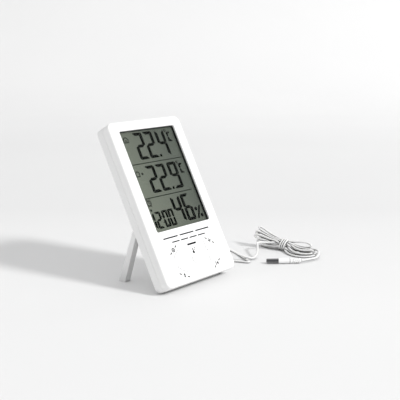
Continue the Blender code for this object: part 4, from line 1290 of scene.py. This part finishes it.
def relaxed(path, radius, rounds=26):
    """Pushes strands that run through each other apart and keeps them off the table."""
    # Neighbours along the same strand don't push each other.
    skip = int(2.6 * radius / CABLE_STEP) + 3
    size = 2.2 * radius
    clearance = 2.02 * radius
    free = range(FIXED_HEAD, len(path) - FIXED_TAIL)
    for _ in range(rounds):
        cells = {}
        keys = [(int(p.x // size), int(p.y // size), int(p.z // size)) for p in path]
        for i, key in enumerate(keys):
            cells.setdefault(key, []).append(i)
        moves = [Vector((0, 0, 0)) for _ in path]
        for i, point in enumerate(path):
            x, y, z = keys[i]
            for dx, dy, dz in product((-1, 0, 1), repeat=3):
                for j in cells.get((x + dx, y + dy, z + dz), ()):
                    if j <= i + skip:
                        continue
                    gap = path[j] - point
                    distance = gap.length
                    if distance < clearance:
                        push = gap.normalized() if distance > 1e-6 else Vector((0, 0, 1))
                        push *= (clearance - distance) * 0.25
                        moves[i] -= push
                        moves[j] += push
        for i in free:
            path[i] = path[i] + moves[i]
        # A little smoothing keeps each strand stiff.
        calm = [point.copy() for point in path]
        for i in free:
            middle = (path[i - 1] + path[i + 1] + path[i - 2] + path[i + 2]) / 4
            calm[i] = path[i].lerp(middle, 0.22)
            calm[i].z = max(calm[i].z, radius + 0.01)
        path = calm
    return path


strand = LEAD + crossing(0, 1)
for k, (right_turn, left_turn) in enumerate(zip(RIGHT_TURNS, LEFT_TURNS)):
    strand += right_turn + crossing(2 * k + 1, -1) + left_turn + crossing(2 * k + 2, 1)
strand += TAIL
run = resampled(smooth_path(strand, 10), CABLE_STEP)
run = relaxed(run, CABLE_R)
piece(
    "cable_run",
    swept(run, CABLE_R, 14),
    "cable_vinyl",
    "cable_white",
    stands_for=("cable_lead", "cable_hank", "cable_tail"),
    smooth=60,
    weighted=False,
)

# --- Tie: three turns of coated wire round the waist of the hank
TIE_R, TIE_TURNS, TIE_STEPS = 0.85, 3, 36
TIE_HALF_LENGTH = 3.2
tie_path = []
for k in range(TIE_TURNS * TIE_STEPS + 1):
    turn = k / TIE_STEPS
    angle = 2 * pi * turn - 0.6
    along = TIE_ALONG - TIE_HALF_LENGTH + 2 * TIE_HALF_LENGTH * turn / TIE_TURNS
    point = in_hank(
        along + 0.9 * sin(angle), -0.9 + 5.9 * cos(angle), TIE_RISE - 0.85 + 5.4 * sin(angle)
    )
    point.z = max(point.z, TIE_R + 0.02)
    tie_path.append(point)
piece(
    "tie_wraps",
    swept(tie_path, TIE_R, 12),
    "cable_vinyl",
    "tie_white",
    stands_for=("cable_tie",),
    smooth=60,
    weighted=False,
)

# --- Probe: profiles of radius, distance from the tip
PROBE_TIP = Vector((91.1, -14.7, 2.75))
PROBE_AXIS = (Vector((114.1, -38.5, 2.75)) - PROBE_TIP).normalized()
tip = [(0, 0.0)] + [(1.3 + 0.9 * sin(a), 0.9 - 0.9 * cos(a)) for a in quarter(8)]
tip += [
    (2.2, 10.6), (2.24, 10.9), (2.24, 11.3), (2.2, 11.5), (2.2, 14.0), (1.75, 14.0),
    (1.75, 2.4), (1.4, 1.4), (0, 1.0),
]
sleeve = [
    (2.27, 11.9), (2.35, 11.7), (2.55, 11.72), (2.66, 11.85), (2.7, 12.1), (2.7, 22.0),
    (2.6, 22.25), (2.4, 22.4), (1.6, 22.4), (1.6, 14.4), (2.27, 14.4),
]
ribs = [(1.25, 22.9), (2.45, 22.9), (2.65, 23.02), (2.74, 23.25), (2.74, 24.6), (2.6, 24.85)]
# One rib after its groove: distance along.
for k in range(4):
    start, top = 25.2 + 1.9 * k, 2.66 - 0.07 * k
    ribs += [(2.1, start), (1.95, start + 0.12), (1.95, start + 0.5), (2.1, start + 0.62)]
    ribs += [(top, start + 0.85), (top + 0.03, start + 1.0)]
    ribs += [(top + 0.03, start + 1.3), (top, start + 1.45)]
ribs += [(2.1, 33.0), (1.9, 33.3), (1.7, 33.4), (1.25, 33.4)]
for name, profile, ring, material, slot, stands_for in (
    ("probe_shell", tip, False, "probe_steel", "probe_metal", "probe_tip"),
    ("probe_cover", sleeve, True, "probe_sleeve_white", "probe_plastic", "probe_sleeve"),
    ("probe_relief", ribs, True, "probe_sleeve_white", "probe_plastic", "probe_boot"),
):
    body = turned(profile, PROBE_TIP, PROBE_AXIS, 40, ring)
    piece(name, body, material, slot, stands_for=(stands_for,))

# --- Finishes of the CAD pieces that stay
FINISHES = {
    "display_front_glass": "lcd_surface",
    "display_rear_glass": "cell_glass",
    "display_reflector": "reflector_foil",
    "display_retainer": "natural_abs",
    "contact_strip": "zebra_rubber",
    "main_board": "solder_resist",
    "controller_blob": "potting_epoxy",
    "clock_crystal": "tinned_spring_steel",
    "humidity_sensor": "sensor_case",
    "indoor_thermistor": "thermistor_bead",
    "sounder_disc": "sounder_brass",
    "battery_cell": "cell_label",
    "contact_plus": "tinned_spring_steel",
    "contact_minus": "tinned_spring_steel",
    "battery_spring": "tinned_spring_steel",
    "board_screw_1": "zinc_screw",
    "board_screw_2": "zinc_screw",
    "probe_sensor": "thermistor_bead",
}
for name in BUTTONS:
    FINISHES[f"switch_{name}_body"] = "switch_case"
    FINISHES[f"switch_{name}_plunger"] = "switch_plunger"
for name, material in FINISHES.items():
    paint(nodes[name], material)

# --- Studio floor in metres: flat, then curved up behind the object into a wall
BEND_START, BEND_R, WALL_TOP = 1.5, 1.4, 3.6
ahead = Vector((sin(VIEW_YAW), cos(VIEW_YAW), 0))
aside = Vector((cos(VIEW_YAW), -sin(VIEW_YAW), 0))
profile = [(forward, 0.0) for forward in (-5.0, -2.0, -1.0, -0.5, 0.0, 0.5, 1.0, BEND_START)]
profile += [
    (BEND_START + BEND_R * sin(a), BEND_R - BEND_R * cos(a)) for a in quarter(32)[1:]
]
profile.append((BEND_START + BEND_R, WALL_TOP))
body = bmesh.new()
rows = [
    [body.verts.new(ahead * forward + aside * side + Vector((0, 0, z))) for forward, z in profile]
    for side in (-5.0, -2.5, 0.0, 2.5, 5.0)
]
for left, right in zip(rows, rows[1:]):
    for i in range(len(profile) - 1):
        body.faces.new((left[i], right[i], right[i + 1], left[i + 1]))
sweep = raw("studio_sweep", body)
sweep.data.shade_smooth()
paint(sweep, "studio_sweep")

# --- World: a tent of light, brighter overhead and to the left
WORLD_BASE, WORLD_TOP, WORLD_LEFT = 0.48, 0.34, 0.22
scene = bpy.context.scene
world = NodeTree(bpy.data.worlds.new("studio"), "Background")
scene.world = world.owner
direction = world.separate("Generated")
overhead = world.math("MAXIMUM", direction["Z"], 0.0)
leftward = world.math("MAXIMUM", world.math("MULTIPLY", direction["X"], -1.0), 0.0)
strength = world.math("MULTIPLY_ADD", overhead, WORLD_TOP, WORLD_BASE)
world.feed("Strength", world.math("MULTIPLY_ADD", leftward, WORLD_LEFT, strength))
world.feed("Color", (0.996, 0.998, 1.0, 1.0))

# --- Key light: a soft sun from the front, above and a little to the right
key_data = bpy.data.lights.new("key", "SUN")
key_data.energy = 2.15
key_data.angle = radians(10.0)
key_data.color = (1.0, 0.998, 0.992)
key = bpy.data.objects.new("key", key_data)
to_light = Vector((0.22, -0.78, 0.58)).normalized()
key.rotation_mode = "QUATERNION"
key.rotation_quaternion = to_light.to_track_quat("Z", "Y")
key.location = to_light * 2.0
scene.collection.objects.link(key)

# --- Camera
CAMERA_AT = (-0.496252, -0.442504, 0.216802)
camera_data = bpy.data.cameras.new("camera")
camera_data.lens = 70.34
camera_data.sensor_width = 36.0
camera_data.clip_start = 0.01
camera_data.clip_end = 50.0
camera = bpy.data.objects.new("camera", camera_data)
scene.collection.objects.link(camera)
look = ahead * cos(VIEW_PITCH) - Vector((0, 0, sin(VIEW_PITCH)))
turn = Matrix((aside, aside.cross(look), -look)).transposed()
camera.matrix_world = Matrix.Translation(CAMERA_AT) @ turn.to_4x4()
scene.camera = camera

scene.view_settings.view_transform = "Standard"
scene.view_settings.look = "None"
scene.view_settings.exposure = 0.0
scene.view_settings.gamma = 1.0

bpy.context.view_layer.update()
